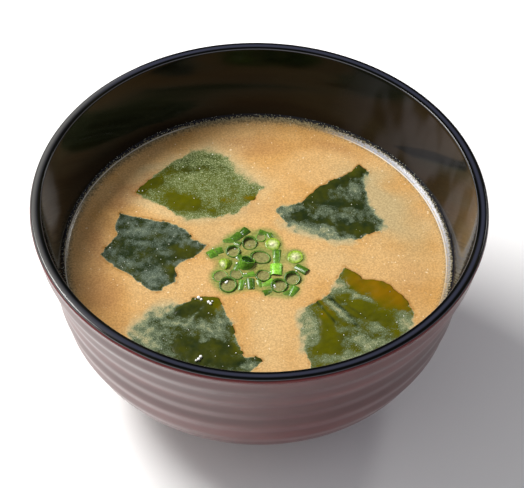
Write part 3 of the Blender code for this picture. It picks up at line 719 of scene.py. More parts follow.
def broth_material(settings):
    material, tree, shader = new_material("Broth")
    colour = leaf_look(tree, attribute(tree, "near_leaf"))
    shaded = mix_colour(tree, attribute(tree, "ring_shade"), (0.168, 0.182, 0.066), (0.035, 0.060, 0.012))
    garnish = mix_colour(tree, attribute(tree, "in_ring"), (0.135, 0.200, 0.045), shaded)
    fine = spread(tree, cloud(tree, settings.grain, detail=2.0), 0.3, 0.7, 0.75, 1.25)
    garnish = mix_colour(tree, 1.0, garnish, grey(tree, fine), mode="MULTIPLY")
    near = maths(tree, "MULTIPLY", attribute(tree, "near_onion"), 0.9)
    colour = mix_colour(tree, near, colour, garnish)
    grains = fill_group(tree, "Miso grains", {"Size": settings.grain})
    jitter = maths(tree, "MULTIPLY", maths(tree, "SUBTRACT", grains.outputs["Grain"], 0.5), 0.7)
    from_wall = maths(tree, "ADD", attribute(tree, "from_wall"), jitter)
    # Painted contact shadow outside the raised leaf edges, in orange-brown.
    rim = maths(tree, "MULTIPLY", attribute(tree, "leaf_rim"), 0.75)
    colour = mix_colour(tree, rim, colour, (0.22, 0.095, 0.012))
    film = settings.shore_width / MM
    # A darker grainy band next to the wall: partly thin broth, partly painted shade and reflection of the dark wall.
    coarse = spread(tree, grains.outputs["Grain"], 0.0, 1.0, 0.40, 1.65, smooth=False)
    shallow_and_shade = mix_colour(tree, 1.0, settings.shallow_and_shade, grey(tree, coarse), mode="MULTIPLY")
    colour = mix_colour(tree, spread(tree, from_wall, 0.9, 3.6, 0.88, 0.0), colour, shallow_and_shade)
    colour = mix_colour(tree, spread(tree, from_wall, 0.75 * film, 1.15 * film, 1.0, 0.0), colour, settings.shore)
    # Painted highlights of the lamps on the meniscus: a broad pale band and a crisp line on the right, a thin pale line
    # on the left.
    plain = attribute(tree, "from_wall")
    broad_highlight = maths(tree, "MULTIPLY", spread(tree, from_wall, film, film + 0.5),
                  spread(tree, from_wall, film + 0.8, film + 1.3, 1.0, 0.0))
    broad_highlight = maths(tree, "MULTIPLY", broad_highlight, maths(tree, "MULTIPLY", attribute(tree, "right_side"), 0.75))
    colour = mix_colour(tree, broad_highlight, colour, (0.34, 0.365, 0.44))
    # Painted highlight: the crisp pale line on the right.
    crisp = maths(tree, "MULTIPLY", band(tree, plain, film + 1.25, 0.24), attribute(tree, "right_side"))
    colour = mix_colour(tree, maths(tree, "MULTIPLY", crisp, 0.8), colour, (0.72, 0.70, 0.66))
    # Painted highlight: the thin pale line on the left.
    narrow_highlight = maths(tree, "MULTIPLY", spread(tree, plain, film + 0.05, film + 0.22),
                   spread(tree, plain, film + 0.22, film + 0.42, 1.0, 0.0))
    narrow_highlight = maths(tree, "MULTIPLY", narrow_highlight, maths(tree, "MULTIPLY", attribute(tree, "left_side"), 0.85))
    colour = mix_colour(tree, narrow_highlight, colour, (0.60, 0.57, 0.50))
    shader.inputs["Roughness"].default_value = settings.roughness
    shader.inputs["IOR"].default_value = 1.34
    shader.inputs["Specular IOR Level"].default_value = 0.3
    swell = cloud(tree, 1.1 * MM, detail=3.0)
    bump = add_node(tree, "ShaderNodeBump", {"Strength": 0.12, "Distance": 0.10 * MM, "Height": swell})
    wire(tree, [(colour, shader.inputs["Base Color"]), (bump.outputs["Normal"], shader.inputs["Normal"])])
    return material


def wakame_material(settings):
    material, tree, shader = new_material("Wakame")
    shader.inputs["Roughness"].default_value = settings.roughness
    shader.inputs["IOR"].default_value = 1.34
    shader.inputs["Specular IOR Level"].default_value = 0.12
    wrinkles = cloud(tree, 0.9 * MM, detail=4.0, roughness=0.6)
    bump = add_node(tree, "ShaderNodeBump", {"Strength": 0.25, "Distance": 0.12 * MM, "Height": wrinkles})
    wire(tree, [(leaf_look(tree, 0.95), shader.inputs["Base Color"]),
                (bump.outputs["Normal"], shader.inputs["Normal"])])
    return material


def onion_material(settings):
    """Green rings, dark outside and bright at the cut, and slices with a pale heart."""
    material, tree, shader = new_material("Spring onion")
    across, tint, pale = (attribute(tree, name) for name in ("across", "tint", "pale"))
    skin = mix_colour(tree, maths(tree, "POWER", tint, 1.5), settings.dark, settings.bright)
    ring = mix_colour(tree, spread(tree, across, 0.15, 0.45), settings.flesh, skin)
    # Very dark green on the plug inside a deep tube: painted shade.
    ring = mix_colour(tree, spread(tree, across, -1.0, -0.2), (0.010, 0.040, 0.003), ring)
    heart = mix_colour(tree, spread(tree, across, 0.15, 0.85, smooth=False), settings.pale, settings.rind)
    colour = mix_colour(tree, pale, ring, heart)
    streaks = spread(tree, cloud(tree, 0.6 * MM, detail=3.0), 0.3, 0.7, 0.62, 1.36)
    colour = mix_colour(tree, 1.0, colour, grey(tree, streaks), mode="MULTIPLY")
    place = add_node(tree, "ShaderNodeTexCoord").outputs["Object"]
    height = add_node(tree, "ShaderNodeSeparateXYZ", {0: place}).outputs["Z"]
    wet = maths(tree, "MULTIPLY", spread(tree, height, LEVEL, LEVEL + 0.35 * MM, 1.0, 0.0),
                spread(tree, across, -1.0, -0.2, 0.0, 0.35))
    colour = mix_colour(tree, wet, colour, (0.130, 0.180, 0.045))
    shader.inputs["Roughness"].default_value = settings.roughness
    shader.inputs["IOR"].default_value = 1.36
    wire(tree, [(colour, shader.inputs["Base Color"])])
    return material


def bead_material():
    material, tree, shader = new_material("Bubble")
    tone = spread(tree, cloud(tree, 3 * MM), 0.35, 0.65)
    colour = mix_colour(tree, tone, (0.30, 0.34, 0.24), (0.60, 0.60, 0.48))
    # Glint beads are white: painted highlights.
    colour = mix_colour(tree, attribute(tree, "glint"), colour, (0.95, 0.95, 0.92))
    wire(tree, [(colour, shader.inputs["Base Color"])])
    shader.inputs["Roughness"].default_value = 0.08
    return material


# ---------------------------------------------------------------------------------------- pieces

def mesh_object(name, vertices, edges, faces, attributes=None):
    """A mesh object, with a float attribute on its points for each entry of attributes."""
    mesh = bpy.data.meshes.new(name)
    mesh.from_pydata(vertices, edges, faces)
    for label, values in (attributes or {}).items():
        layer = mesh.attributes.new(label, "FLOAT", "POINT")
        layer.data.foreach_set("value", np.asarray(values, np.float32))
    thing = bpy.data.objects.new(name, mesh)
    bpy.context.scene.collection.objects.link(thing)
    return thing


def with_nodes(thing, tree, values, material):
    """Adds a Geometry Nodes modifier, sets its inputs by identifier, and turns its result into a mesh."""
    modifier = thing.modifiers.new(tree.name, "NODES")
    modifier.node_group = tree
    sockets = {item.name: item.identifier for item in tree.interface.items_tree if item.in_out == "INPUT"}
    for name, value in values.items():
        modifier[sockets[name]] = value
    bpy.context.view_layer.update()
    made = bpy.data.meshes.new_from_object(thing.evaluated_get(bpy.context.evaluated_depsgraph_get()))
    thing.modifiers.clear()
    thing.data = made
    if not made.materials:
        made.materials.append(material)
    return thing


def finish_piece(thing, slot, *nodes):
    """Names a finished piece and hangs it on its body, hiding the CAD nodes it replaces: everything here rides on the
    one body.
    """
    thing.data.name = thing.name
    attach(thing, "root")
    if nodes:
        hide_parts(*nodes)


def turning_tree():
    """Turns a profile, drawn as edges at +X, round the Z axis."""
    tree, given, out = new_group(
        "Turn profile", "GeometryNodeTree",
        [("Geometry", "NodeSocketGeometry", None), ("Facets", "NodeSocketInt", 64),
         ("Radius", "NodeSocketFloat", 0.05), ("Material", "NodeSocketMaterial", None)],
        [("Geometry", "NodeSocketGeometry")])
    drawn = add_node(tree, "GeometryNodeMeshToCurve", {"Mesh": given["Geometry"]})
    place = add_node(tree, "ShaderNodeSeparateXYZ", {0: add_node(tree, "GeometryNodeInputPosition").outputs[0]})
    flat = add_node(tree, "ShaderNodeCombineXYZ", {
        "X": maths(tree, "SUBTRACT", place.outputs["X"], given["Radius"]),
        "Y": maths(tree, "MULTIPLY", place.outputs["Z"], -1.0)})
    profile = add_node(tree, "GeometryNodeSetPosition", {"Geometry": drawn.outputs[0], "Position": flat.outputs[0]})
    path = add_node(tree, "GeometryNodeCurvePrimitiveCircle", {"Resolution": given["Facets"],
                                                               "Radius": given["Radius"]})
    turned = add_node(tree, "GeometryNodeCurveToMesh", {"Curve": path.outputs[0],
                                                        "Profile Curve": profile.outputs[0]})
    closed = add_node(tree, "GeometryNodeMergeByDistance", {"Geometry": turned.outputs[0],
                                                            "Distance": 0.004 * MM})
    smooth = add_node(tree, "GeometryNodeSetShadeSmooth", {"Geometry": closed.outputs[0]})
    solid = add_node(tree, "GeometryNodeRealizeInstances", {"Geometry": smooth.outputs[0]})
    painted = add_node(tree, "GeometryNodeSetMaterial", {"Geometry": solid.outputs[0],
                                                         "Material": given["Material"]})
    wire(tree, [(painted.outputs[0], out["Geometry"])])
    return tree


def disc_points(rings, radius):
    """A square grid bent into a disc of even cells: points, quads, and the loop round its edge."""
    side = np.linspace(-1.0, 1.0, 2 * rings + 1)
    a, b = np.meshgrid(side, side, indexing="ij")
    wide = np.abs(a) > np.abs(b)
    far = np.where(wide, a, b)
    near = np.where(wide, b, a)
    angle = np.where(far == 0.0, 0.0, near / np.where(far == 0.0, 1.0, far)) * math.pi / 4
    angle = np.where(wide, angle, math.pi / 2 - angle)
    x, y = far * np.cos(angle) * radius, far * np.sin(angle) * radius
    count = len(side)
    index = np.arange(count * count).reshape(count, count)
    quads = np.stack([index[:-1, :-1], index[1:, :-1], index[1:, 1:], index[:-1, 1:]], axis=-1)
    loop = np.concatenate([index[:-1, 0], index[-1, :-1], index[:0:-1, -1], index[0, :0:-1]])
    return x.ravel(), y.ravel(), quads.reshape(-1, 4), loop


def wall_radius(profile, height):
    """Radius of the bowl's inner wall at a height, from the profile that starts inside."""
    for (r_a, z_a), (r_b, z_b) in zip(profile, profile[1:]):
        if z_a <= height <= z_b and z_a != z_b:
            return r_a + (r_b - r_a) * (height - z_a) / (z_b - z_a)
    raise ValueError("the wall does not reach that height")


def with_lip(profile):
    """The profile with its lip drawn finely: a flat land between two small rounded edges."""
    crown = max(z for _, z in profile)
    widest = max(profile)
    mouth = next(point for point in profile if point[1] > crown - 0.5 * MM)
    before = [point for point in profile[:profile.index(mouth)]]
    after = profile[profile.index(widest):]
    inner, outer = 0.45 * MM, 0.75 * MM
    lip = []
    for turn in np.linspace(math.pi, math.pi / 2, 7):
        lip.append((mouth[0] + inner + inner * math.cos(turn), crown - inner + inner * math.sin(turn)))
    for turn in np.linspace(math.radians(82), 0.0, 8):
        drop = crown - outer - widest[1]
        lip.append((widest[0] - outer + outer * math.cos(turn),
                    widest[1] + (outer + drop) * math.sin(turn)))
    return before + [(r, min(z, crown)) for r, z in lip[:-1]] + after


class MISO_OT_bowl(Operator):
    """Make the turned lacquer bowl from the frame's own profile"""
    bl_idname = "miso.bowl"
    bl_label = "Lacquer Bowl"

    def execute(self, context):
        settings = context.scene.miso_bowl
        profile = smooth_course(with_lip(turned_profile("bowl")), settings.step)
        lip = max(range(len(profile)), key=lambda i: profile[i][0])
        along = np.cumsum([0.0] + [(b - a).length for a, b in zip(profile, profile[1:])])
        outside = (along - along[lip]) / settings.edge_width
        points = [(max(r, 0.0), 0.0, min(max(z, 0.0), BOWL_BOX[1].z)) for r, z in profile]
        edges = [(i, i + 1) for i in range(len(points) - 1)]
        bowl = mesh_object("lacquer_bowl", points, edges, [], {"outside": np.clip(outside, -6.0, 3.0)})
        material = lacquer_material(settings)
        with_nodes(bowl, turning_tree(), {"Facets": settings.facets, "Radius": BOWL_BOX[1].x,
                                          "Material": material}, material)
        finish_piece(bowl, "lacquer", "bowl")
        return {"FINISHED"}


class MISO_OT_broth(Operator):
    """Make the broth: a fine surface with a meniscus, through which the sunk parts of the leaves show"""
    bl_idname = "miso.broth"
    bl_label = "Miso Broth"

    def execute(self, context):
        settings = context.scene.miso_broth
        profile = turned_profile("bowl")
        radius = wall_radius(profile, LEVEL + settings.rise) + 0.1 * MM
        x, y, quads, loop = disc_points(settings.rings, 1.0)
        share = np.hypot(x, y)
        stretch = (1.0 + 0.45 * (1.0 - share)) * radius
        x, y = x * stretch, y * stretch
        from_wall = radius - np.hypot(x, y)
        fields = leaf_fields(x, y, context.scene)
        fields["from_wall"] = from_wall / MM
        fields.update(onion_fields(x, y))
        fields.update(broth_tones(x, y))
        angle = np.degrees(np.arctan2(y, x))
        # Sides of the bowl where the meniscus gets painted highlights: a pale band and line on the right, a thin line
        # on the left.
        fields["right_side"] = soft_step(-30, 25, angle) * soft_step(74, 50, angle)
        fields["left_side"] = soft_step(108, 120, angle % 360) * soft_step(246, 228, angle % 360)
        z = LEVEL + settings.rise * np.exp(-from_wall / settings.run)
        z += 0.012 * MM * ripples(x, y, 3.0 * MM, 7)
        vertices = list(map(tuple, np.stack([x, y, z], axis=1)))
        faces = [tuple(quad) for quad in quads.tolist()]
        close_underneath(vertices, faces, loop.tolist(), profile)
        extra = len(vertices) - len(x)
        fields = {name: np.concatenate([values, np.zeros(extra)]) for name, values in fields.items()}
        broth = mesh_object("miso_broth", vertices, [], faces, fields)
        broth.data.shade_smooth()
        broth.data.materials.append(broth_material(settings))
        finish_piece(broth, "broth", "broth")
        return {"FINISHED"}


def close_underneath(vertices, faces, loop, profile):
    """Takes the surface's edge down along the bowl's inner wall to its floor, and closes the body there."""
    lip = max(range(len(profile)), key=lambda i: profile[i][1])
    wall = [row for row in reversed(profile[1:lip]) if row[1] < LEVEL - 1.0 * MM]
    previous = loop
    for radius, height in wall:
        start = len(vertices)
        for index in loop:
            place = Vector(vertices[index][:2]).normalized() * (radius - 0.15 * MM)
            vertices.append((place.x, place.y, height + 0.1 * MM))
        ring = list(range(start, len(vertices)))
        join_rings(faces, previous, ring)
        previous = ring
    centre = len(vertices)
    vertices.append((0.0, 0.0, profile[0][1] + 0.1 * MM))
    for a, b in zip(previous, previous[1:] + previous[:1]):
        faces.append((a, centre, b))


def join_rings(faces, upper, lower):
    for i in range(len(upper)):
        j = (i + 1) % len(upper)
        faces.append((upper[i], lower[i], lower[j], upper[j]))


def leaf_fields(x, y, scene):
    """For each point of the broth: how much of a leaf shows, its tones, how near a leaf is, and a painted shadow line
    outside its raised edges.
    """
    cover, thin, cool, near, rim = (np.zeros_like(x) for _ in range(5))
    for node in LEAF_NODES:
        leaf = Leaf(node, scene.miso_wakame)
        inside = distance_to_outline(x, y, leaf.outline)
        rise = leaf.rise(x, y, inside)
        sunk = 1.0 - soft_step(-0.40 * MM, -0.08 * MM, rise)
        edge = inside + (1.35 * sunk - 0.25) * MM + 0.5 * MM * sunk * ripples(x, y, 1.1 * MM, 57)
        shown = leaf_cover(rise, scene.miso_broth.clearness) * soft_step(0.0, (0.3 + 2.1 * sunk) * MM, edge)
        here = shown > cover
        cover = np.where(here, shown, cover)
        thin = np.where(here, leaf.thin(x, y), thin)
        cool = np.where(here, leaf.lie["cool"], cool)
        near = np.maximum(near, leaf.lie["halo"] * (0.1 + 0.85 * sunk) * np.exp(-np.maximum(-inside, 0.0) / (2.6 * MM)))
        # Painted contact shadow: an orange-brown line on the broth just outside a leaf's raised edge.
        crisp = (1.0 - sunk) * soft_step(-0.12 * MM, 0.0, rise)
        rim = np.maximum(rim, crisp * np.exp(-((inside + 0.1 * MM) / (0.30 * MM)) ** 2))
    return {"cover": cover, "thin": thin, "cool": cool, "near_leaf": near, "leaf_rim": rim}


def onion_fields(x, y):
    """Fields of the broth round the spring onion: among the pieces, inside upright rings, and in their shade."""
    near, within, shade = (np.zeros_like(x) for _ in range(3))
    gap = np.ones_like(x)
    for across, up, _, tilt, _, width, _, _, kind, _ in SLICES:
        aside, behind = x - HEAP_CENTRE.x - across * MM, y - HEAP_CENTRE.y - up * MM
        away = np.hypot(aside, behind) - 0.5 * width * MM
        alone = 1.0 - soft_step(0.1 * MM, 1.2 * MM, away)
        gap *= 1.0 - 0.62 * np.exp(-(np.maximum(away, 0.0) / (1.9 * MM)) ** 2)
        near = np.maximum(near, alone)
        if tilt < 30 and kind == OPEN:
            inside = soft_step(0.0, 0.5 * MM, -away)
            within = np.maximum(within, inside)
            shade = np.maximum(shade, inside * soft_step(0.1, 1.0, (0.8 * behind - 0.6 * aside) / (0.5 * width * MM)))
    near = np.maximum(near, soft_step(0.30, 0.88, 1.0 - gap) * 0.92)
    near = np.maximum(near * (0.92 + 0.12 * ripples(x, y, 1.6 * MM, 31)), within)
    return {"near_onion": np.clip(near, 0.0, 1.0), "in_ring": within, "ring_shade": shade}


def broth_tones(x, y):
    """The broth's uneven colour: one field for each name in BROTH_TONES; brown along the wall is painted shade."""
    bent_x = x + 1.2 * MM * ripples(x, y, 5.0 * MM, 61)
    bent_y = y + 1.2 * MM * ripples(x, y, 5.0 * MM, 62)
    fields = {}
    for name, patches in BROTH_TONES.items():
        total = np.zeros_like(x)
        for across, up, long, wide, heading, amount in patches:
            turn = math.radians(heading)
            along = (bent_x - across * MM) * math.cos(turn) + (bent_y - up * MM) * math.sin(turn)
            aside = (bent_y - up * MM) * math.cos(turn) - (bent_x - across * MM) * math.sin(turn)
            total += amount * np.exp(-np.hypot(along / (long * MM), aside / (wide * MM)) ** 2.6)
        fields[name] = np.clip(total, 0.0, 1.0)
    return fields


class MISO_OT_wakame(Operator):
    """Make the torn wakame leaves, wavy sheets that rise out of the broth and sink back into it"""
    bl_idname = "miso.wakame"
    bl_label = "Wakame"

    def execute(self, context):
        settings = context.scene.miso_wakame
        material = wakame_material(settings)
        for node in LEAF_NODES:
            leaf = Leaf(node, settings)
            piece = leaf_piece(leaf, settings, context.scene.miso_broth)
            piece.data.materials.append(material)
            finish_piece(piece, "wakame", node)
        return {"FINISHED"}


def leaf_piece(leaf, settings, broth):
    """A triangulated sheet inside the torn outline, set to its height and given its thickness."""
    cell = settings.cell
    xs = np.arange(leaf.low[0], leaf.high[0], cell)
    ys = np.arange(leaf.low[1], leaf.high[1], cell * 0.866)
    grid_x, grid_y = np.meshgrid(xs, ys, indexing="ij")
    grid_x = grid_x + np.where(np.arange(len(ys)) % 2 == 0, 0.0, cell / 2)[None, :]
    x, y = grid_x.ravel(), grid_y.ravel()
    keep = distance_to_outline(x, y, leaf.outline) > 0.55 * cell
    inner = np.stack([x[keep], y[keep]], axis=1)
    points = [Vector(point) for point in np.concatenate([leaf.outline, inner]).tolist()]
    count = len(leaf.outline)
    ring = [(i, (i + 1) % count) for i in range(count)]
    flat, _, faces, *_ = geometry.delaunay_2d_cdt(points, ring, [], 1, 0.001 * MM)
    flat = np.array([tuple(point) for point in flat])
    inside = distance_to_outline(flat[:, 0], flat[:, 1], leaf.outline)
    rise = leaf.rise(flat[:, 0], flat[:, 1], inside)
    vertices = np.column_stack([flat, LEVEL + rise])
    thing = mesh_object(f"leaf_{leaf.node}", vertices.tolist(), [], faces,
                        {"cover": leaf_cover(rise, broth.clearness), "thin": leaf.thin(flat[:, 0], flat[:, 1]),
                         "cool": np.full(len(flat), leaf.lie["cool"])})
    shell = thing.modifiers.new("Thickness", "SOLIDIFY")
    shell.thickness = settings.thickness
    shell.offset = -1.0
    thing.data.shade_smooth()
    bpy.context.view_layer.update()
    solid = bpy.data.meshes.new_from_object(thing.evaluated_get(bpy.context.evaluated_depsgraph_get()))
    thing.modifiers.clear()
    thing.data = solid
    return thing


def slice_tree(wall):
    """Cuts of spring onion on points: an open tube, a solid slice, or a deep tube with a dark plug of painted shade
    inside, turned and sized by attributes.
    """
    tree, given, out = new_group(
        "Cut onion", "GeometryNodeTree",
        [("Geometry", "NodeSocketGeometry", None), ("Wall", "NodeSocketFloat", 0.1),
         ("Facets", "NodeSocketInt", 26), ("Unevenness", "NodeSocketFloat", 0.0001),
         ("Material", "NodeSocketMaterial", None)], [("Geometry", "NodeSocketGeometry")])
    tube = tube_mesh(tree, given["Wall"], given["Facets"])
    disc = slice_mesh(tree, given["Facets"])
    # A dark plug inside the deep tube: painted shade of the tube's inside.
    shade_plug = add_node(tree, "GeometryNodeMeshCylinder", {"Vertices": given["Facets"], "Radius": 0.46, "Depth": 0.3})
    deep = tree.nodes.new("GeometryNodeJoinGeometry")
    raised = add_node(tree, "GeometryNodeTransform", {"Geometry": shade_plug.outputs["Mesh"],
                                                      "Translation": (0.0, 0.0, 0.26)})
    wire(tree, [(store(tree, raised.outputs[0], "across", -1.0), deep.inputs[0]), (tube, deep.inputs[0])])
    joined = tree.nodes.new("GeometryNodeJoinGeometry")
    for shape, kind in ((disc, PALE), (tube, OPEN), (deep.outputs[0], DEEP)):
        wanted = add_node(tree, "FunctionNodeCompare", {2: named(tree, "kind", "INT"), 3: kind},
                          data_type="INT", operation="EQUAL")
        turn = add_node(tree, "FunctionNodeEulerToRotation", {0: named(tree, "turn", "FLOAT_VECTOR")})
        placed = add_node(tree, "GeometryNodeInstanceOnPoints", {
            "Points": given["Geometry"], "Selection": wanted.outputs[0], "Instance": shape,
            "Rotation": turn.outputs[0], "Scale": named(tree, "size", "FLOAT_VECTOR")})
        wire(tree, [(placed.outputs[0], joined.inputs[0])])
    solid = add_node(tree, "GeometryNodeRealizeInstances", {"Geometry": joined.outputs[0]})
    noise = add_node(tree, "ShaderNodeTexNoise", {"Scale": 1.0 / (2.2 * MM), "Detail": 1.0})
    centred = add_node(tree, "ShaderNodeVectorMath", {0: noise.outputs["Color"], 1: (0.5, 0.5, 0.5)},
                       operation="SUBTRACT")
    push = add_node(tree, "ShaderNodeVectorMath", {0: centred.outputs[0], "Scale": given["Unevenness"]},
                    operation="SCALE")
    uneven = add_node(tree, "GeometryNodeSetPosition", {"Geometry": solid.outputs[0], "Offset": push.outputs[0]})
    smooth = add_node(tree, "GeometryNodeSetShadeSmooth", {"Geometry": uneven.outputs[0]})
    painted = add_node(tree, "GeometryNodeSetMaterial", {"Geometry": smooth.outputs[0],
                                                         "Material": given["Material"]})
    wire(tree, [(painted.outputs[0], out["Geometry"])])
    return tree


def named(tree, name, kind):
    return add_node(tree, "GeometryNodeInputNamedAttribute", {"Name": name}, data_type=kind).outputs["Attribute"]


def store(tree, shape, name, value):
    return add_node(tree, "GeometryNodeStoreNamedAttribute", {"Geometry": shape, "Name": name, "Value": value},
                    data_type="FLOAT", domain="POINT").outputs[0]


def tube_mesh(tree, wall, facets):
    """A tube one unit across and one high, with rounded cut edges; across is 0 inside and 1 outside."""
    half = maths(tree, "MULTIPLY", wall, 0.5)
    path = add_node(tree, "GeometryNodeCurvePrimitiveCircle",
                    {"Resolution": facets, "Radius": maths(tree, "SUBTRACT", 0.5, half)})
    section = add_node(tree, "GeometryNodeCurvePrimitiveQuadrilateral", {"Width": wall, "Height": 1.0})
    rounded = add_node(tree, "GeometryNodeFilletCurve", {"Curve": section.outputs[0], "Count": 3,
                                                         "Radius": maths(tree, "MULTIPLY", wall, 0.42)},
                       mode="POLY")
    place = add_node(tree, "ShaderNodeSeparateXYZ", {0: add_node(tree, "GeometryNodeInputPosition").outputs[0]})
    share = maths(tree, "ADD", maths(tree, "DIVIDE", place.outputs["X"], wall), 0.5)
    marked = store(tree, rounded.outputs[0], "across", share)
    return add_node(tree, "GeometryNodeCurveToMesh", {"Curve": path.outputs[0],
                                                      "Profile Curve": marked}).outputs[0]


def slice_mesh(tree, facets):
    """A solid slice one unit across and one high with a slightly domed face; across grows to its rind."""
    path = add_node(tree, "GeometryNodeCurvePrimitiveCircle", {"Resolution": facets, "Radius": 0.5})
    points = [(0.0, 0.53), (-0.36, 0.52), (-0.30, 0.47), (-0.18, 0.52), (-0.10, 0.47), (-0.03, 0.50),
              (0.0, 0.44), (0.0, -0.44), (-0.06, -0.5), (0.0, -0.5)]
    radii = [-0.5, -0.36, -0.30, -0.18, -0.10, -0.03, 0.0, 0.0, -0.06, -0.5]
    line = None
    curves = []
    for (start_x, start), (end_x, end) in zip(zip(radii, points), zip(radii[1:], points[1:])):
        line = add_node(tree, "GeometryNodeCurvePrimitiveLine", {"Start": (start_x, -start[1], 0.0),
                                                                 "End": (end_x, -end[1], 0.0)})
        curves.append(line.outputs[0])
    joined = tree.nodes.new("GeometryNodeJoinGeometry")
    for curve in reversed(curves):
        wire(tree, [(curve, joined.inputs[0])])
    place = add_node(tree, "ShaderNodeSeparateXYZ", {0: add_node(tree, "GeometryNodeInputPosition").outputs[0]})
    share = maths(tree, "ADD", maths(tree, "MULTIPLY", place.outputs["X"], 2.0), 1.0)
    marked = store(tree, joined.outputs[0], "across", share)
    turned = add_node(tree, "GeometryNodeCurveToMesh", {"Curve": path.outputs[0], "Profile Curve": marked})
    return add_node(tree, "GeometryNodeMergeByDistance", {"Geometry": turned.outputs[0],
                                                          "Distance": 0.002}).outputs[0]


class MISO_OT_spring_onions(Operator):
    """Scatter the cut spring onion in the middle of the broth"""
    bl_idname = "miso.spring_onions"
    bl_label = "Spring Onion"

    def execute(self, context):
        settings = context.scene.miso_onion
        points, turns, sizes, kinds, tints = [], [], [], [], []
        for x, y, lift, tilt, heading, width, length, roundness, kind, tone in SLICES:
            points.append((HEAP_CENTRE.x + x * MM, HEAP_CENTRE.y + y * MM, LEVEL + lift * MM))
            turn = Matrix.Rotation(math.radians(heading), 3, "Z") @ Matrix.Rotation(math.radians(tilt), 3, "Y")
            turns += list(turn.to_euler())
            sizes += [width * MM, width * roundness * MM, length * MM]
            kinds.append(kind)
            tints.append(tone)
        onions = mesh_object("cut_spring_onions", points, [], [],
                             {"tint": tints, "pale": np.array(kinds) == PALE})
        for name, kind, values in (("turn", "FLOAT_VECTOR", turns), ("size", "FLOAT_VECTOR", sizes)):
            onions.data.attributes.new(name, kind, "POINT").data.foreach_set("vector", values)
        onions.data.attributes.new("kind", "INT", "POINT").data.foreach_set("value", kinds)
        material = onion_material(settings)
        with_nodes(onions, slice_tree(settings.wall), {"Wall": settings.wall / (4 * MM), "Material": material,
                                                       "Unevenness": 0.55 * MM}, material)
        finish_piece(onions, "spring_onion", "spring_onions")
        return {"FINISHED"}


def bead_tree():
    """Small round beads on points, each sized by its own attribute."""
    tree, given, out = new_group(
        "Beads", "GeometryNodeTree",
        [("Geometry", "NodeSocketGeometry", None), ("Size", "NodeSocketFloat", 0.0004),
         ("Material", "NodeSocketMaterial", None)], [("Geometry", "NodeSocketGeometry")])
    ball = add_node(tree, "GeometryNodeMeshUVSphere", {"Segments": 8, "Rings": 5, "Radius": 0.5})
    scale = maths(tree, "MULTIPLY", given["Size"], named(tree, "scale", "FLOAT"))
    placed = add_node(tree, "GeometryNodeInstanceOnPoints", {"Points": given["Geometry"],
                                                             "Instance": ball.outputs[0], "Scale": scale})
    solid = add_node(tree, "GeometryNodeRealizeInstances", {"Geometry": placed.outputs[0]})
    smooth = add_node(tree, "GeometryNodeSetShadeSmooth", {"Geometry": solid.outputs[0]})
    painted = add_node(tree, "GeometryNodeSetMaterial", {"Geometry": smooth.outputs[0],
                                                         "Material": given["Material"]})
    wire(tree, [(painted.outputs[0], out["Geometry"])])
    return tree


class MISO_OT_bubbles(Operator):
    """Scatter tiny bubbles on the leaves, drops on the wall just over the broth, and white beads as painted glints"""
    bl_idname = "miso.bubbles"
    bl_label = "Bubbles"

    def execute(self, context):
        settings = context.scene.miso_beads
        draw = np.random.default_rng(11)
        places, scales, glint = [], [], []
        for node in LEAF_NODES:
            leaf = Leaf(node, context.scene.miso_wakame)
            x = draw.uniform(leaf.low[0], leaf.high[0], 4 * settings.per_leaf)
            y = draw.uniform(leaf.low[1], leaf.high[1], 4 * settings.per_leaf)
            inside = distance_to_outline(x, y, leaf.outline)
            rise = np.maximum(leaf.rise(x, y, inside), 0.0)
            kept = np.flatnonzero((inside > -0.5 * MM) & (rise < 0.5 * MM))[:settings.per_leaf]
            places += [(x[i], y[i], LEVEL + rise[i]) for i in kept]
            scales += draw.uniform(0.4, 1.35, len(kept)).tolist()
            # About a quarter of the leaf bubbles are white painted glints.
            glint += (0.75 * (draw.random(len(kept)) < 0.26)).tolist()
        broth = context.scene.miso_broth
        edge = wall_radius(turned_profile("bowl"), LEVEL + broth.rise)
        for angle in draw.uniform(math.radians(20), math.radians(200), settings.on_wall):
            from_wall = draw.exponential(0.45) * broth.run + 0.05 * MM
            height = LEVEL + broth.rise * math.exp(-from_wall / broth.run)
            radius = edge - from_wall
            places.append((radius * math.cos(angle), radius * math.sin(angle), height))
            scales.append(draw.uniform(0.3, 0.9))
        for x, y, lift, size in GLINTS:
            places.append((HEAP_CENTRE.x + x * MM, HEAP_CENTRE.y + y * MM, LEVEL + lift * MM))
            scales.append(size * MM / settings.size)
        glint += [0.0] * settings.on_wall + [1.0] * len(GLINTS)
        beads = mesh_object("bubbles", places, [], [], {"scale": scales, "glint": glint})
        material = bead_material()
        with_nodes(beads, bead_tree(), {"Size": settings.size, "Material": material}, material)
        finish_piece(beads, "broth")
        return {"FINISHED"}


# ---------------------------------------------------------------------------------------- stage

def lamp(name, power, width, height, azimuth, elevation, distance, colour, target):
    """A soft lamp aimed at a point. Azimuth 0 is on the viewer's side, and 90 is on the right."""
    light = bpy.data.lights.new(name, "AREA")
    light.energy = power
    light.shape = "RECTANGLE"
    light.size = width
    light.size_y = height
    light.color = colour
    a, e = math.radians(azimuth), math.radians(elevation)
    away = Vector((math.sin(a) * math.cos(e), -math.cos(a) * math.cos(e), math.sin(e)))
    thing = bpy.data.objects.new(name, light)
    thing.location = target + away * distance
    thing.rotation_euler = away.to_track_quat("Z", "Y").to_euler()
    bpy.context.scene.collection.objects.link(thing)


def floor_material():
    material, tree, shader = new_material("Pale floor")
    soft = spread(tree, cloud(tree, 0.25, detail=2.0), 0.3, 0.7, 0.86, 0.90)
    wire(tree, [(grey(tree, soft), shader.inputs["Base Color"])])
    shader.inputs["Roughness"].default_value = 0.6
    shader.inputs["Specular IOR Level"].default_value = 0.2
    return material


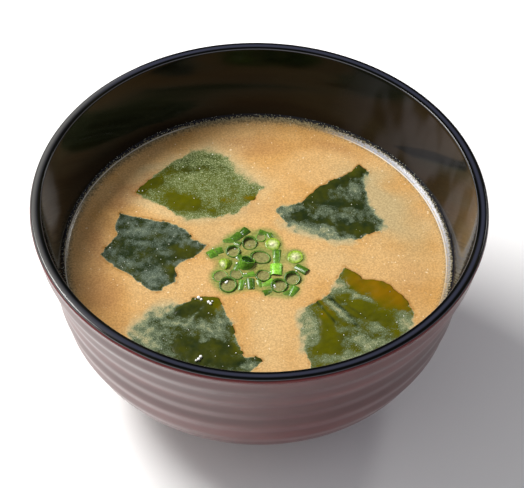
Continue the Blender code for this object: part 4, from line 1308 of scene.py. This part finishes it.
def soft_room(settings):
    """Light from all round: neutral and brighter from the left, bluer and dimmer from the right."""
    world = bpy.data.worlds.new("Soft room")
    world.use_nodes = True
    tree = world.node_tree
    heading = add_node(tree, "ShaderNodeTexCoord").outputs["Generated"]
    across = add_node(tree, "ShaderNodeSeparateXYZ", {0: heading}).outputs["X"]
    colour = mix_colour(tree, spread(tree, across, -0.6, 0.6), (1.0, 1.0, 0.97), (0.38, 0.38, 0.45))
    toward = (0.0, math.cos(settings.elevation), math.sin(settings.elevation))
    behind = add_node(tree, "ShaderNodeVectorMath", {0: heading, 1: toward}, operation="DOT_PRODUCT")
    dark = spread(tree, behind.outputs["Value"], 0.55, 0.92, 1.0, 0.15)
    colour = mix_colour(tree, 1.0, colour, grey(tree, dark), mode="MULTIPLY")
    background = tree.nodes["Background"]
    background.inputs["Strength"].default_value = settings.sky
    wire(tree, [(colour, background.inputs["Color"])])
    return world


class MISO_OT_stage(Operator):
    """Set the camera, the pale floor and the soft light"""
    bl_idname = "miso.stage"
    bl_label = "Stage"

    def execute(self, context):
        settings = context.scene.miso_stage
        self.add_camera(context.scene, settings)
        half = 3.0
        floor = mesh_object("floor", [(-half, -half, 0), (half, -half, 0), (half, half, 0), (-half, half, 0)],
                            [], [(0, 1, 2, 3)])
        floor.data.materials.append(floor_material())
        context.scene.world = soft_room(settings)
        target = Vector((0.0, 0.0, LEVEL))
        lamp("key", settings.key, 0.46, 0.26, 240, 51, 0.8, (1.0, 0.985, 0.96), target)
        lamp("edge", settings.edge, 0.14, 0.14, 142, 40, 0.8, (1.0, 0.99, 0.97), target)
        context.scene.view_settings.view_transform = "Standard"
        return {"FINISHED"}

    @staticmethod
    def add_camera(scene, settings):
        data = bpy.data.cameras.new("camera")
        data.lens = settings.lens
        data.sensor_width = 36.0
        data.clip_start = 0.01
        camera = bpy.data.objects.new("camera", data)
        turn = Matrix.Rotation(math.pi / 2 - settings.elevation, 4, "X") @ Matrix.Rotation(settings.roll, 4, "Z")
        back = Vector((0.0, -math.cos(settings.elevation), math.sin(settings.elevation)))
        aim = Vector((settings.aim_across, 0.0, settings.aim_height))
        camera.matrix_world = Matrix.Translation(aim + back * settings.distance) @ turn
        scene.collection.objects.link(camera)
        scene.camera = camera


# ---------------------------------------------------------------------------------------- add-on

PIECES = (MISO_OT_bowl, MISO_OT_broth, MISO_OT_wakame, MISO_OT_spring_onions, MISO_OT_bubbles, MISO_OT_stage)
SETTINGS = {"miso_bowl": BowlSettings, "miso_broth": BrothSettings, "miso_wakame": WakameSettings,
            "miso_onion": OnionSettings, "miso_beads": BeadSettings, "miso_stage": StageSettings}


class MISO_PT_panel(Panel):
    """Lists the settings and the pieces"""
    bl_idname = "MISO_PT_panel"
    bl_label = "Miso Soup"
    bl_space_type = "VIEW_3D"
    bl_region_type = "UI"
    bl_category = "Miso Soup"

    def draw(self, context):
        for (name, group), piece in zip(SETTINGS.items(), PIECES):
            box = self.layout.box()
            for label in group.__annotations__:
                box.prop(getattr(context.scene, name), label)
            box.operator(piece.bl_idname)


def register():
    for group in SETTINGS.values():
        bpy.utils.register_class(group)
    for name, group in SETTINGS.items():
        setattr(bpy.types.Scene, name, PointerProperty(type=group))
    for kind in (*PIECES, MISO_PT_panel):
        bpy.utils.register_class(kind)


def unregister():
    for kind in (MISO_PT_panel, *reversed(PIECES)):
        bpy.utils.unregister_class(kind)
    for name in SETTINGS:
        delattr(bpy.types.Scene, name)
    for group in reversed(SETTINGS.values()):
        bpy.utils.unregister_class(group)


def main():
    register()
    make_groups(bpy.context.scene)
    bpy.ops.miso.bowl()
    bpy.ops.miso.broth()
    bpy.ops.miso.wakame()
    bpy.ops.miso.spring_onions()
    bpy.ops.miso.bubbles()
    bpy.ops.miso.stage()


if __name__ == "__main__":
    main()
